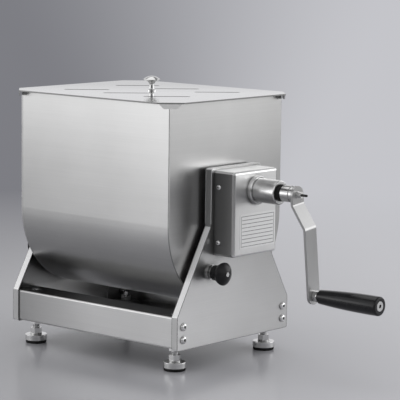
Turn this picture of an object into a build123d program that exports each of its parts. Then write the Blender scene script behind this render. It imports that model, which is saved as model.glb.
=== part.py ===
from build123d import *
from math import acos, cos, pi, radians, sin, sqrt, tan
import os

# Manual meat mixer: a tilting steel tank between two side plates on a base of two rails, with a
# hand crank that turns the mixing shaft through a pair of gears. Millimetres, +Z up, +X along
# the shafts towards the crank, -Y is the front. The origin is under the middle of the whole
# machine at floor level, so the middle of the stand lies at stand_x.

# Stand
stand_depth = 294
plate_thickness = 2
plate_flange = 13
plate_corner_radius = 3
floor_to_plate = 40
tower_width = 129
shoulder_below_axis = 4.5
plate_top_above_axis = 94
rail_thickness = 2
rail_width = 50
rail_height = 54
base_above_rails = 1
tilt_clearance = 3
tank_to_plate = 19
rail_screw_inset = 12.5
rail_screw_spacing = 22
screw_hole_allowance = 0.25
access_hole_diameter = 15

# Tank, which tilts about the mixing shaft's axis
tank_length = 348
tank_radius = 147
rim_above_axis = 206
shell_thickness = 1.5
end_plate_thickness = 2
index_angle = 37.7
index_radius = 103
index_boss_diameter = 20
index_boss_length = 7.5

# Lid
lid_thickness = 2.5
lid_overhang = 19.6
lid_corner_leg = 32.8
lid_tab_drop = 8
lid_tab_end_width = 22
lid_tab_thickness = 2
slot_length = 80
slot_width = 8.5
slot_pitch_x = 94
slot_pitch_y = 132
slot_angle = 45
slot_columns = 3
slot_rows = 2

# Lid knob
knob_height = 26.5
knob_head_diameter = 29.6
knob_neck_diameter = 8.8
knob_foot_diameter = 16
knob_foot_height = 1.6
knob_neck_bottom = 5.5
knob_neck_top = 10
knob_rim_height = 19.5
knob_rim_thickness = 0.8
knob_screw_diameter = 5

# Mixing shaft, its trunnions and paddles
shaft_diameter = 20
shaft_past_plate = 8
shaft_chamfer = 1
trunnion_diameter = 34
trunnion_flange_diameter = 56
trunnion_flange_thickness = 3
bush_wall = 4
bush_flange_width = 5
bush_flange_thickness = 3
shaft_bush_wall = 3
seal_width = 5
paddle_reach = 140
paddle_pitch = 84
paddle_count = 4
paddle_hub_diameter = 36
paddle_hub_width = 24
paddle_arm_width = 24
paddle_arm_thickness = 8
paddle_phase = 45
set_screw_diameter = 6
set_screw_below_face = 1
blade_length = 84
blade_height = 44
blade_thickness = 4
blade_twist = 32
blade_corner_radius = 9
end_cap_diameter = 64
end_cap_depth = 16
end_cap_wall = 2.5
end_cap_gap = 1
end_cap_round = 3
end_cap_screw_count = 3
cap_screw_diameter = 3

# Gears and gearbox
gear_module = 2
wheel_teeth = 40
pinion_teeth = 17
pressure_angle = 20
tooth_backlash = 0.24
tooth_depth_share = 1.25
wheel_width = 14
pinion_width = 16
wheel_web = 6
wheel_rim = 6
wheel_hub_proud = 3
wheel_hub_diameter = 34
wheel_hole_count = 5
wheel_hole_diameter = 13
bracket_thickness = 3
bracket_ear = 18
cover_width = 115.6
cover_depth = 44
cover_below_axis = 54
cover_above_crank = 33.5
cover_thickness = 1.5
cover_corner_radius = 5
cover_screw_inset = 11
cover_screw_from_bottom = 23
cover_screw_from_top = 27.5
bracket_end_gap = 8
bracket_screw_inset_y = 14
bracket_screw_inset_z = 12
key_width = 5
key_height = 5
ring_thickness = 1.2
ring_width = 3
ring_groove_depth = 0.8
shaft_past_ring = 2.5

# Crank shaft bearing
crank_shaft_diameter = 16
shoulder_diameter = 22
bearing_tube_diameter = 41
bearing_tube_bore = 24
bearing_tube_length = 53
bearing_tube_chamfer = 1.5
bearing_collar_diameter = 49
bearing_collar_length = 8
bearing_spigot_diameter = 33
bearing_nut_size = 41
bearing_nut_thickness = 5
crank_seal_diameter = 28
crank_seal_width = 4
crank_seal_proud = 7
crank_bush_length = 16

# Crank arm and hub
hub_diameter = 28
hub_length = 24.4
hub_groove_from_end = 5
hub_groove_width = 2.5
hub_groove_depth = 1
hub_chamfer = 1
arm_width = 29.5
arm_thickness = 4.5
arm_throw = 171
arm_offset = 23.3
arm_bend_start = 16.6
arm_bend_end = 55
arm_bend_radius = 7
crank_rest_angle = 6.8
hub_stud_diameter = 4
hub_stud_length = 16
hub_stud_proud = 19.5
hub_nut_size = 9.5
hub_nut_thickness = 7.5
stud_chamfer = 0.5
hub_washer_diameter = 12
hub_washer_thickness = 1

# Grip
grip_length = 124.7
grip_root_diameter = 24
grip_belly_diameter = 30
grip_end_diameter = 32.5
grip_chamfer = 3.5
grip_belly_share = 0.4
grip_end_round = 3
grip_bore_diameter = 10
grip_bolt_head_diameter = 18
grip_bolt_head_length = 6
grip_bolt_socket = 6
grip_bolt_chamfer = 0.8
grip_nut_size = 17
grip_nut_thickness = 8
grip_washer_diameter = 17
grip_washer_thickness = 1.6

# Index plungers
pin_diameter = 8
pin_travel = 6
pin_gap = 0.5
barrel_diameter = 16
sleeve_diameter = 20
sleeve_length = 12
pin_tip_diameter = 7.5
plunger_nut_size = 22
plunger_nut_thickness = 5
lock_ring_diameter = 26
lock_ring_thickness = 2.5
skirt_diameter = 26
skirt_length = 10.5
knob_flare = 10
mushroom_diameter = 39
mushroom_dome = 8
pin_chamfer = 1

# Levelling feet
foot_inset_x = 29.7
foot_inset_y = 28
foot_diameter = 39
foot_pad_diameter = 37
foot_pad_thickness = 4.5
foot_cup_height = 11
foot_neck_diameter = 20
foot_hex_size = 18
foot_hex_height = 9.5
foot_cup_chamfer = 1
foot_cup_round = 1.2
foot_neck_height = 2
foot_pad_chamfer = 1.2
stud_diameter = 12
stud_above_rail = 18
foot_nut_size = 18
weld_nut_height = 10
lock_nut_height = 8

# Fasteners
m8_diameter = 8
m8_head_diameter = 14
m8_head_height = 4.4
m8_socket = 5
m8_length = 14
m8_nut_size = 13
m8_nut_height = 6.5
m5_diameter = 5
m5_head_diameter = 9.5
m5_head_height = 3
m5_length = 8
screw_crown_share = 0.45
socket_depth_share = 0.55

# Clearances
seat_gap = 0.3
running_gap = 0.05
index_gap = 0.4
axial_gap = 0.5
cut_margin = 1

# Derived places, from the middle of the stand
tank_end = tank_length / 2
plate_inner = tank_end + tank_to_plate
plate_outer = plate_inner + plate_thickness
rail_bottom_z = floor_to_plate + plate_thickness
rail_top_z = rail_bottom_z + rail_height
base_top_z = rail_top_z + base_above_rails
tank_axis_height = rail_top_z + tilt_clearance + tank_radius
crank_z = tank_axis_height + gear_module * (wheel_teeth + pinion_teeth) / 2
rail_face_y = stand_depth / 2 - plate_thickness
rail_back_y = rail_face_y - rail_width
rail_screw_y = rail_face_y - rail_screw_inset
rail_screw_z = (rail_bottom_z + rail_top_z) / 2
shoulder_z = tank_axis_height - shoulder_below_axis
plate_top_z = tank_axis_height + plate_top_above_axis
tank_rim_z = tank_axis_height + rim_above_axis
lid_bottom_z = tank_rim_z + seat_gap
lid_top_z = lid_bottom_z + lid_thickness
foot_x = plate_outer - foot_inset_x
foot_y = stand_depth / 2 - foot_inset_y
index_y = -index_radius * sin(radians(index_angle))
index_z = tank_axis_height - index_radius * cos(radians(index_angle))
cover_bottom_z = tank_axis_height - cover_below_axis
cover_top_z = crank_z + cover_above_crank
cover_face = plate_outer + cover_depth
bracket_face = plate_outer + bracket_thickness
bracket_half_width = cover_width / 2 - cover_thickness
trunnion_end = bracket_face + axial_gap
wheel_start = trunnion_end + 2 * axial_gap
wheel_middle = wheel_start + wheel_width / 2 + wheel_hub_proud
pinion_start = wheel_middle - pinion_width / 2
wheel_hub_end = wheel_middle + wheel_width / 2 + wheel_hub_proud
cover_screw_x = plate_outer + cover_screw_inset
bracket_screw_y = bracket_half_width - bracket_screw_inset_y
bracket_screw_z = (cover_top_z - cover_bottom_z) / 2 - bracket_end_gap - bracket_screw_inset_z
tube_end = cover_face + bearing_tube_length
seal_end = tube_end + crank_seal_proud
hub_start = seal_end + axial_gap
hub_end = hub_start + hub_length
arm_face = hub_end + arm_thickness
arm_lower_face = arm_face + arm_offset
grip_start = arm_lower_face + grip_nut_thickness + grip_washer_thickness + axial_gap
grip_end = grip_start + grip_length
grip_y = arm_throw * sin(radians(crank_rest_angle))
grip_z = crank_z - arm_throw * cos(radians(crank_rest_angle))
barrel_end = tank_end + index_boss_length + pin_gap
skirt_start = plate_outer + lock_ring_thickness + pin_travel + seat_gap
skirt_end = skirt_start + skirt_length
mushroom_widest = skirt_end + knob_flare
plunger_end = mushroom_widest + mushroom_dome
shaft_left_end = plate_outer + shaft_past_plate
stand_x = (plunger_end - grip_end) / 2
cap_boss_radius = trunnion_diameter / 2 + bush_wall + end_cap_wall + end_cap_gap
cap_screw_ring = (end_cap_diameter / 2 + cap_boss_radius) / 2
sides = ((-1, "left"), (1, "right"))

os.makedirs("parts", exist_ok=True)


def level(x, y, z):
    """A plane parallel to the floor, at x from the middle of the stand."""
    return Plane(origin=(stand_x + x, y, z))


def outward(x, y=0, z=0, side=1, turn=0):
    """A plane that faces away from the stand's middle along X, turned about its own normal."""
    across = (0, side * cos(radians(turn)), sin(radians(turn)))
    return Plane(origin=(stand_x + side * x, y, z), x_dir=across, z_dir=(side, 0, 0))


def lengthwise(y, z, side=1):
    """A plane through a shaft's axis: its own x runs along the shaft, its own y is up."""
    return Plane(origin=(stand_x, y, z), x_dir=(side, 0, 0), z_dir=(0, -side, 0))


def shaft_axis(y, z):
    """The line of a shaft along X."""
    return Axis((stand_x, y, z), (1, 0, 0))


def round_bar(plane, radius, length, bore=0, mode=Mode.ADD):
    """A round bar or ring that grows from its plane."""
    with BuildSketch(plane) as end_face:
        Circle(radius)
        if bore:
            Circle(bore, mode=Mode.SUBTRACT)
    extrude(end_face.sketch, amount=length, mode=mode)


def hex_bar(plane, size, length, bore=0, mode=Mode.ADD):
    """A hexagonal bar or nut, size across its flats."""
    with BuildSketch(plane) as end_face:
        RegularPolygon(size / 2, 6, major_radius=False)
        if bore:
            Circle(bore, mode=Mode.SUBTRACT)
    extrude(end_face.sketch, amount=length, mode=mode)


def button_screw(plane, diameter, head_diameter, head_height, length, socket):
    """A button-head socket screw whose head stands on its plane, with its shank behind."""
    head_radius = head_diameter / 2
    crown_radius = head_radius * screw_crown_share
    with BuildSketch(Plane(plane.origin, x_dir=plane.x_dir, z_dir=-plane.y_dir)) as half_profile:
        with BuildLine():
            Polyline((0, head_height), (0, -length), (diameter / 2, -length), (diameter / 2, 0),
                     (head_radius, 0))
            TangentArc((head_radius, 0), (crown_radius, head_height), tangent=(0, 1))
            Line((crown_radius, head_height), (0, head_height))
        make_face()
    revolve(half_profile.sketch, Axis(plane.origin, plane.z_dir))
    depth = head_height * socket_depth_share
    hex_bar(plane.offset(head_height - depth), socket, head_height, mode=Mode.SUBTRACT)


def plate_outline(inset):
    """Side plate outline: upright base, slanted shoulders and a narrow tower, inset all round."""
    base = stand_depth / 2
    tower = tower_width / 2
    with BuildSketch() as outline:
        with BuildLine():
            Polyline((-base, floor_to_plate), (base, floor_to_plate), (base, base_top_z),
                     (tower, shoulder_z), (tower, plate_top_z), (-tower, plate_top_z),
                     (-tower, shoulder_z), (-base, base_top_z), (-base, floor_to_plate))
        make_face()
        fillet(outline.vertices(), plate_corner_radius)
        if inset:
            offset(amount=-inset, mode=Mode.REPLACE)
    return outline.sketch


def tank_outline(inset):
    """Tank section: half round below the axis, straight walls above it."""
    radius = tank_radius - inset
    with BuildSketch() as outline:
        with BuildLine():
            ThreePointArc((-radius, tank_axis_height), (0, tank_axis_height - radius),
                          (radius, tank_axis_height))
            Polyline((radius, tank_axis_height), (radius, tank_rim_z), (-radius, tank_rim_z),
                     (-radius, tank_axis_height))
        make_face()
    return outline.sketch


def gear_outline(teeth, first_tooth_angle):
    """Spur gear outline with involute flanks, each drawn as one arc through three points."""
    pitch_radius = gear_module * teeth / 2
    base_radius = pitch_radius * cos(radians(pressure_angle))
    tip_radius = pitch_radius + gear_module
    root_radius = pitch_radius - tooth_depth_share * gear_module
    start_radius = max(base_radius, root_radius)
    flat = radians(pressure_angle)
    half_pitch_tooth = pi / (2 * teeth) - tooth_backlash / (4 * pitch_radius)

    def flank(radius, hand):
        slope = acos(min(1, base_radius / radius))
        half_angle = half_pitch_tooth + (tan(flat) - flat) - (tan(slope) - slope)
        return (radius * cos(half_angle), hand * radius * sin(half_angle))

    def foot(hand):
        x, y = flank(start_radius, hand)
        inner = (root_radius - tooth_backlash) / start_radius
        return (x * inner, y * inner)

    middle_radius = (start_radius + tip_radius) / 2
    with BuildSketch() as outline:
        Circle(root_radius)
        with PolarLocations(0, teeth, start_angle=first_tooth_angle):
            with BuildSketch(mode=Mode.PRIVATE) as tooth:
                with BuildLine():
                    Line(foot(1), flank(start_radius, 1))
                    ThreePointArc(flank(start_radius, 1), flank(middle_radius, 1), flank(tip_radius, 1))
                    ThreePointArc(flank(tip_radius, 1), (tip_radius, 0), flank(tip_radius, -1))
                    ThreePointArc(flank(tip_radius, -1), flank(middle_radius, -1),
                                  flank(start_radius, -1))
                    Polyline(flank(start_radius, -1), foot(-1), foot(1))
                make_face()
            add(tooth.sketch)
    return outline.sketch


# Side plates: folded trays whose flanges turn inwards all round
for side, side_name in sides:
    web = outward(plate_inner, side=side)
    with BuildPart() as side_plate:
        extrude(web.location * plate_outline(0), amount=plate_thickness)
        extrude(web.offset(-(plate_flange - plate_thickness)).location * plate_outline(0),
                amount=plate_flange - plate_thickness)
        extrude(web.offset(-(plate_flange - plate_thickness)).location * plate_outline(plate_thickness),
                amount=plate_flange - plate_thickness, mode=Mode.SUBTRACT)
        with BuildSketch(web):
            with Locations((0, tank_axis_height)):
                Circle(trunnion_diameter / 2 + running_gap + bush_wall)
            with Locations((side * index_y, index_z)):
                Circle(barrel_diameter / 2)
            with Locations((0, rail_screw_z)):
                with GridLocations(2 * rail_screw_y, rail_screw_spacing, 2, 2):
                    Circle(m8_diameter / 2 + screw_hole_allowance)
            if side > 0:
                with Locations((0, crank_z)):
                    Circle(crank_shaft_diameter / 2 + running_gap + bush_wall)
                with Locations((0, (cover_bottom_z + cover_top_z) / 2)):
                    with GridLocations(2 * bracket_screw_y, 2 * bracket_screw_z, 2, 2):
                        Circle(m5_diameter / 2)
            else:
                with Locations((0, tank_axis_height)):
                    with PolarLocations(cap_screw_ring, end_cap_screw_count, start_angle=90):
                        Circle(cap_screw_diameter / 2)
        extrude(amount=plate_thickness, mode=Mode.SUBTRACT)
    side_plate.part.label = f"{side_name}_side_plate"
    export_step(side_plate.part, f"parts/{side_name}_side_plate.step")

# Rails: channels that open towards the middle, closed by end tabs that bolt to the side plates
for front, rail_name in ((-1, "front"), (1, "rear")):
    middle_y = front * (rail_face_y + rail_back_y) / 2
    with BuildPart() as rail:
        with Locations((stand_x, middle_y, rail_screw_z)):
            Box(2 * plate_inner, rail_width, rail_height)
        face_edges = rail.edges().filter_by(Axis.X).group_by(Axis.Y)[0 if front < 0 else -1]
        fillet(face_edges, plate_corner_radius)
        with BuildSketch(outward(-(plate_inner - rail_thickness), middle_y, rail_screw_z)) as hollow:
            with Locations((-front * rail_thickness, 0)):
                Rectangle(rail_width, rail_height - 2 * rail_thickness)
            fillet(hollow.vertices().group_by(Axis.Y)[0 if front < 0 else -1],
                   plate_corner_radius - rail_thickness)
        extrude(amount=2 * (plate_inner - rail_thickness), mode=Mode.SUBTRACT)
        with BuildSketch(level(0, front * foot_y, rail_bottom_z)):
            with GridLocations(2 * foot_x, 0, 2, 1):
                Circle(stud_diameter / 2 + running_gap)
        extrude(amount=rail_thickness, mode=Mode.SUBTRACT)
        with BuildSketch(level(0, front * foot_y, rail_top_z - rail_thickness)):
            with GridLocations(2 * foot_x, 0, 2, 1):
                Circle(access_hole_diameter / 2)
        extrude(amount=rail_thickness, mode=Mode.SUBTRACT)
        with BuildSketch(outward(-plate_inner, front * rail_screw_y, rail_screw_z)):
            with GridLocations(0, rail_screw_spacing, 1, 2):
                Circle(m8_diameter / 2 + screw_hole_allowance)
        extrude(amount=2 * plate_inner, mode=Mode.SUBTRACT)
    rail.part.label = f"{rail_name}_rail"
    export_step(rail.part, f"parts/{rail_name}_rail.step")

# Every rail screw with its nut, two at each end of each rail
with BuildPart() as rail_screws:
    for side, side_name in sides:
        for y in (-rail_screw_y, rail_screw_y):
            for lift in (-rail_screw_spacing / 2, rail_screw_spacing / 2):
                button_screw(outward(plate_outer, y, rail_screw_z + lift, side), m8_diameter,
                             m8_head_diameter, m8_head_height, m8_length, m8_socket)
rail_screws.part.label = "rail_screws"
export_step(rail_screws.part, "parts/rail_screws.step")

with BuildPart() as rail_screw_nuts:
    for side, side_name in sides:
        for y in (-rail_screw_y, rail_screw_y):
            for lift in (-rail_screw_spacing / 2, rail_screw_spacing / 2):
                inner_face = outward(plate_inner - rail_thickness - m8_nut_height, y,
                                     rail_screw_z + lift, side)
                hex_bar(inner_face, m8_nut_size, m8_nut_height, bore=m8_diameter / 2)
rail_screw_nuts.part.label = "rail_screw_nuts"
export_step(rail_screw_nuts.part, "parts/rail_screw_nuts.step")

# Levelling feet: stud, hexagon and chrome cup in one turned piece, on a rubber pad. Each stud runs
# in a weld nut above the rail's lower flange and a lock nut below it.
stud_top_z = rail_bottom_z + rail_thickness + stud_above_rail
cup_top_z = foot_pad_thickness + foot_cup_height
hex_start_z = cup_top_z + foot_neck_height
cup_radius = foot_diameter / 2
with BuildPart() as foot_nuts:
    for x in (-foot_x, foot_x):
        for y in (-foot_y, foot_y):
            hex_bar(level(x, y, rail_bottom_z + rail_thickness), foot_nut_size, weld_nut_height,
                    bore=stud_diameter / 2 + running_gap)
            hex_bar(level(x, y, rail_bottom_z - lock_nut_height), foot_nut_size, lock_nut_height,
                    bore=stud_diameter / 2 + running_gap)
foot_nuts.part.label = "foot_nuts"
export_step(foot_nuts.part, "parts/foot_nuts.step")

for front, row_name in ((-1, "front"), (1, "rear")):
    for side, side_name in sides:
        foot_name = f"{row_name}_{side_name}"
        with BuildPart() as foot:
            with BuildSketch(level(side * foot_x, front * foot_y, 0) * Plane.XZ):
                with BuildLine():
                    Polyline((0, foot_pad_thickness), (cup_radius - foot_cup_chamfer, foot_pad_thickness),
                             (cup_radius, foot_pad_thickness + foot_cup_chamfer),
                             (cup_radius, cup_top_z - foot_cup_round))
                    TangentArc((cup_radius, cup_top_z - foot_cup_round),
                               (cup_radius - foot_cup_round, cup_top_z), tangent=(0, 1))
                    Polyline((cup_radius - foot_cup_round, cup_top_z),
                             (foot_neck_diameter / 2, cup_top_z), (foot_neck_diameter / 2, hex_start_z),
                             (stud_diameter / 2, hex_start_z),
                             (stud_diameter / 2, stud_top_z - shaft_chamfer),
                             (stud_diameter / 2 - shaft_chamfer, stud_top_z), (0, stud_top_z),
                             (0, foot_pad_thickness))
                make_face()
            revolve(axis=Axis((stand_x + side * foot_x, front * foot_y, 0), (0, 0, 1)))
            hex_bar(level(side * foot_x, front * foot_y, hex_start_z), foot_hex_size, foot_hex_height)
        foot.part.label = f"levelling_foot_{foot_name}"
        export_step(foot.part, f"parts/levelling_foot_{foot_name}.step")

        with BuildPart() as foot_pad:
            round_bar(level(side * foot_x, front * foot_y, 0), foot_pad_diameter / 2, foot_pad_thickness)
            chamfer(foot_pad.edges().group_by(Axis.Z)[0], foot_pad_chamfer)
        foot_pad.part.label = f"foot_pad_{foot_name}"
        export_step(foot_pad.part, f"parts/foot_pad_{foot_name}.step")

# Tank: a wrapped sheet between two end plates, open at the top. Each end plate has a trunnion hole
# and a welded boss that the index pin enters to hold the tank upright.
with BuildPart() as tank_shell:
    wrap_half = tank_end - end_plate_thickness
    extrude(outward(-wrap_half).location * tank_outline(0), amount=2 * wrap_half)
    extrude(outward(-wrap_half).location * tank_outline(shell_thickness), amount=2 * wrap_half,
            mode=Mode.SUBTRACT)
tank_shell.part.label = "tank_shell"
export_step(tank_shell.part, "parts/tank_shell.step")

for side, side_name in sides:
    with BuildPart() as tank_end_plate:
        extrude(outward(tank_end - end_plate_thickness, side=side).location * tank_outline(0),
                amount=end_plate_thickness)
        with BuildSketch(outward(tank_end - end_plate_thickness, z=tank_axis_height, side=side)):
            Circle(shaft_diameter / 2 + shaft_bush_wall + running_gap)
        extrude(amount=end_plate_thickness, mode=Mode.SUBTRACT)
        round_bar(outward(tank_end, index_y, index_z, side), index_boss_diameter / 2, index_boss_length,
                  bore=pin_diameter / 2 + index_gap)
    tank_end_plate.part.label = f"tank_end_{side_name}"
    export_step(tank_end_plate.part, f"parts/tank_end_{side_name}.step")

# Trunnions: flanged sleeves on the tank's ends, turning in the side plates
with BuildPart() as trunnions:
    for side, side_name in sides:
        bore = shaft_diameter / 2 + shaft_bush_wall + running_gap
        round_bar(outward(tank_end, z=tank_axis_height, side=side), trunnion_flange_diameter / 2,
                  trunnion_flange_thickness, bore=bore)
        round_bar(outward(tank_end, z=tank_axis_height, side=side), trunnion_diameter / 2,
                  trunnion_end - tank_end, bore=bore)
trunnions.part.label = "trunnions"
export_step(trunnions.part, "parts/trunnions.step")

# Bushes that line the trunnions, with a seal at the tank's inner face
with BuildPart() as shaft_bushes:
    for side, side_name in sides:
        bush_start = tank_end - end_plate_thickness + seal_width
        round_bar(outward(bush_start, z=tank_axis_height, side=side),
                  shaft_diameter / 2 + shaft_bush_wall + running_gap, trunnion_end - bush_start,
                  bore=shaft_diameter / 2 + running_gap)
shaft_bushes.part.label = "shaft_bushes"
export_step(shaft_bushes.part, "parts/shaft_bushes.step")

with BuildPart() as shaft_seals:
    for side, side_name in sides:
        round_bar(outward(tank_end - end_plate_thickness, z=tank_axis_height, side=side),
                  shaft_diameter / 2 + shaft_bush_wall + running_gap, seal_width,
                  bore=shaft_diameter / 2 + running_gap)
shaft_seals.part.label = "shaft_seals"
export_step(shaft_seals.part, "parts/shaft_seals.step")

# Flanged bushes in the side plates, in which the trunnions turn
with BuildPart() as trunnion_bushes:
    for side, side_name in sides:
        bore = trunnion_diameter / 2 + running_gap
        flange_plane = outward(plate_inner - bush_flange_thickness, z=tank_axis_height, side=side)
        round_bar(flange_plane, bore + bush_wall + bush_flange_width, bush_flange_thickness, bore=bore)
        round_bar(outward(plate_inner, z=tank_axis_height, side=side), bore + bush_wall,
                  bracket_face - plate_inner, bore=bore)
trunnion_bushes.part.label = "trunnion_bushes"
export_step(trunnion_bushes.part, "parts/trunnion_bushes.step")

# Cap over the left end of the mixing shaft
with BuildPart() as shaft_end_cap:
    round_bar(outward(plate_outer, z=tank_axis_height, side=-1), end_cap_diameter / 2, end_cap_wall)
    round_bar(outward(plate_outer, z=tank_axis_height, side=-1), cap_boss_radius, end_cap_depth)
    fillet(shaft_end_cap.edges().group_by(Axis.X)[0], end_cap_round)
    round_bar(outward(plate_outer, z=tank_axis_height, side=-1), cap_boss_radius - end_cap_wall,
              end_cap_depth - end_cap_wall, mode=Mode.SUBTRACT)
    with BuildSketch(outward(plate_outer, z=tank_axis_height, side=-1)):
        with PolarLocations(cap_screw_ring, end_cap_screw_count, start_angle=90):
            Circle(cap_screw_diameter / 2 + screw_hole_allowance)
    extrude(amount=end_cap_wall, mode=Mode.SUBTRACT)
shaft_end_cap.part.label = "shaft_end_cap"
export_step(shaft_end_cap.part, "parts/shaft_end_cap.step")

with BuildPart() as cap_screws:
    for turn in range(end_cap_screw_count):
        angle = radians(90 + 360 * turn / end_cap_screw_count)
        head_plane = outward(plate_outer + end_cap_wall, cap_screw_ring * cos(angle),
                             tank_axis_height + cap_screw_ring * sin(angle), side=-1)
        button_screw(head_plane, cap_screw_diameter, 2 * cap_screw_diameter, cap_screw_diameter / 2,
                     end_cap_wall + plate_thickness, cap_screw_diameter / 2)
cap_screws.part.label = "cap_screws"
export_step(cap_screws.part, "parts/cap_screws.step")

# Mixing shaft: runs from the left cap through both trunnions to the large gear
shaft_right_end = wheel_hub_end + ring_thickness + shaft_past_ring
with BuildPart() as mixing_shaft:
    round_bar(outward(-shaft_left_end, z=tank_axis_height), shaft_diameter / 2,
              shaft_left_end + shaft_right_end)
    chamfer(mixing_shaft.edges(), shaft_chamfer)
    with Locations((stand_x + (wheel_start + wheel_hub_end) / 2, 0,
                    tank_axis_height + shaft_diameter / 2)):
        Box(wheel_hub_end - wheel_start, key_width, key_height, mode=Mode.SUBTRACT)
    round_bar(outward(wheel_hub_end, z=tank_axis_height), shaft_diameter / 2, ring_thickness,
              bore=shaft_diameter / 2 - ring_groove_depth, mode=Mode.SUBTRACT)
mixing_shaft.part.label = "mixing_shaft"
export_step(mixing_shaft.part, "parts/mixing_shaft.step")

# Paddles: a clamped hub, a flat arm and a twisted blade, each a quarter turn on from the last
for number in range(paddle_count):
    paddle_x = (number - (paddle_count - 1) / 2) * paddle_pitch
    phase = paddle_phase + 90 * number
    twist = blade_twist if number % 2 == 0 else -blade_twist
    radial = Vector(0, -sin(radians(phase)), cos(radians(phase)))
    around = Vector(0, cos(radians(phase)), sin(radians(phase)))
    along = Vector(1, 0, 0) * cos(radians(twist)) + around * sin(radians(twist))
    arm_end = paddle_reach - blade_height / 2
    with BuildPart() as paddle:
        round_bar(outward(paddle_x - paddle_hub_width / 2, z=tank_axis_height), paddle_hub_diameter / 2,
                  paddle_hub_width)
        with BuildSketch(outward(paddle_x - paddle_arm_width / 2, z=tank_axis_height, turn=phase)):
            with Locations((0, arm_end / 2)):
                Rectangle(paddle_arm_thickness, arm_end)
        extrude(amount=paddle_arm_width)
        with BuildSketch(Plane((stand_x + paddle_x, 0, tank_axis_height), x_dir=along,
                               z_dir=along.cross(radial))) as blade_face:
            with Locations((0, paddle_reach - blade_height / 2)):
                RectangleRounded(blade_length, blade_height, blade_corner_radius)
        extrude(amount=blade_thickness / 2, both=True)
        round_bar(outward(paddle_x - blade_length / 2, z=tank_axis_height), paddle_reach, blade_length,
                  mode=Mode.INTERSECT)
        round_bar(outward(paddle_x - blade_length / 2, z=tank_axis_height), shaft_diameter / 2,
                  blade_length, mode=Mode.SUBTRACT)
        round_bar(Plane((stand_x + paddle_x, 0, tank_axis_height), x_dir=(1, 0, 0), z_dir=-radial),
                  set_screw_diameter / 2, paddle_hub_diameter / 2, mode=Mode.SUBTRACT)
    paddle.part.label = f"paddle_{number + 1}"
    export_step(paddle.part, f"parts/paddle_{number + 1}.step")

with BuildPart() as paddle_set_screws:
    for number in range(paddle_count):
        paddle_x = (number - (paddle_count - 1) / 2) * paddle_pitch
        phase = radians(paddle_phase + 90 * number)
        screw_length = (paddle_hub_diameter - shaft_diameter) / 2 - set_screw_below_face
        screw_plane = Plane((stand_x + paddle_x, sin(phase) * shaft_diameter / 2,
                             tank_axis_height - cos(phase) * shaft_diameter / 2), x_dir=(1, 0, 0),
                            z_dir=(0, sin(phase), -cos(phase)))
        round_bar(screw_plane, set_screw_diameter / 2, screw_length)
        hex_bar(screw_plane.offset(screw_length / 2), set_screw_diameter / 2, screw_length,
                mode=Mode.SUBTRACT)
paddle_set_screws.part.label = "paddle_set_screws"
export_step(paddle_set_screws.part, "parts/paddle_set_screws.step")

# Large gear on the mixing shaft, with a thin web and round lightening holes
web_outer = gear_module * wheel_teeth / 2 - wheel_rim
with BuildPart() as wheel_gear:
    extrude(outward(wheel_middle - wheel_width / 2, z=tank_axis_height).location
            * gear_outline(wheel_teeth, 90), amount=wheel_width)
    for end_plane in (outward(wheel_middle + wheel_web / 2, z=tank_axis_height),
                      outward(wheel_middle - wheel_width / 2, z=tank_axis_height)):
        round_bar(end_plane, web_outer, (wheel_width - wheel_web) / 2, mode=Mode.SUBTRACT)
    with BuildSketch(outward(wheel_middle - wheel_width / 2, z=tank_axis_height)):
        with PolarLocations((web_outer + wheel_hub_diameter / 2) / 2, wheel_hole_count):
            Circle(wheel_hole_diameter / 2)
    extrude(amount=wheel_width, mode=Mode.SUBTRACT)
    round_bar(outward(wheel_start, z=tank_axis_height), wheel_hub_diameter / 2,
              wheel_hub_end - wheel_start)
    round_bar(outward(wheel_start, z=tank_axis_height), shaft_diameter / 2, wheel_hub_end - wheel_start,
              mode=Mode.SUBTRACT)
    with Locations((stand_x + (wheel_start + wheel_hub_end) / 2, 0,
                    tank_axis_height + shaft_diameter / 2)):
        Box(wheel_hub_end - wheel_start, key_width, key_height, mode=Mode.SUBTRACT)
wheel_gear.part.label = "wheel_gear"
export_step(wheel_gear.part, "parts/wheel_gear.step")

with BuildPart() as wheel_key:
    with Locations((stand_x + (wheel_start + wheel_hub_end) / 2, 0,
                    tank_axis_height + shaft_diameter / 2)):
        Box(wheel_hub_end - wheel_start, key_width, key_height)
wheel_key.part.label = "wheel_key"
export_step(wheel_key.part, "parts/wheel_key.step")

with BuildPart() as wheel_ring:
    ring_bore = shaft_diameter / 2 - ring_groove_depth
    round_bar(outward(wheel_hub_end, z=tank_axis_height), ring_bore + ring_width, ring_thickness,
              bore=ring_bore)
    with Locations((stand_x + wheel_hub_end + ring_thickness / 2, 0,
                    tank_axis_height - ring_bore - ring_width / 2)):
        Box(ring_thickness, ring_width, ring_width + cut_margin, mode=Mode.SUBTRACT)
wheel_ring.part.label = "wheel_ring"
export_step(wheel_ring.part, "parts/wheel_ring.step")

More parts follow.
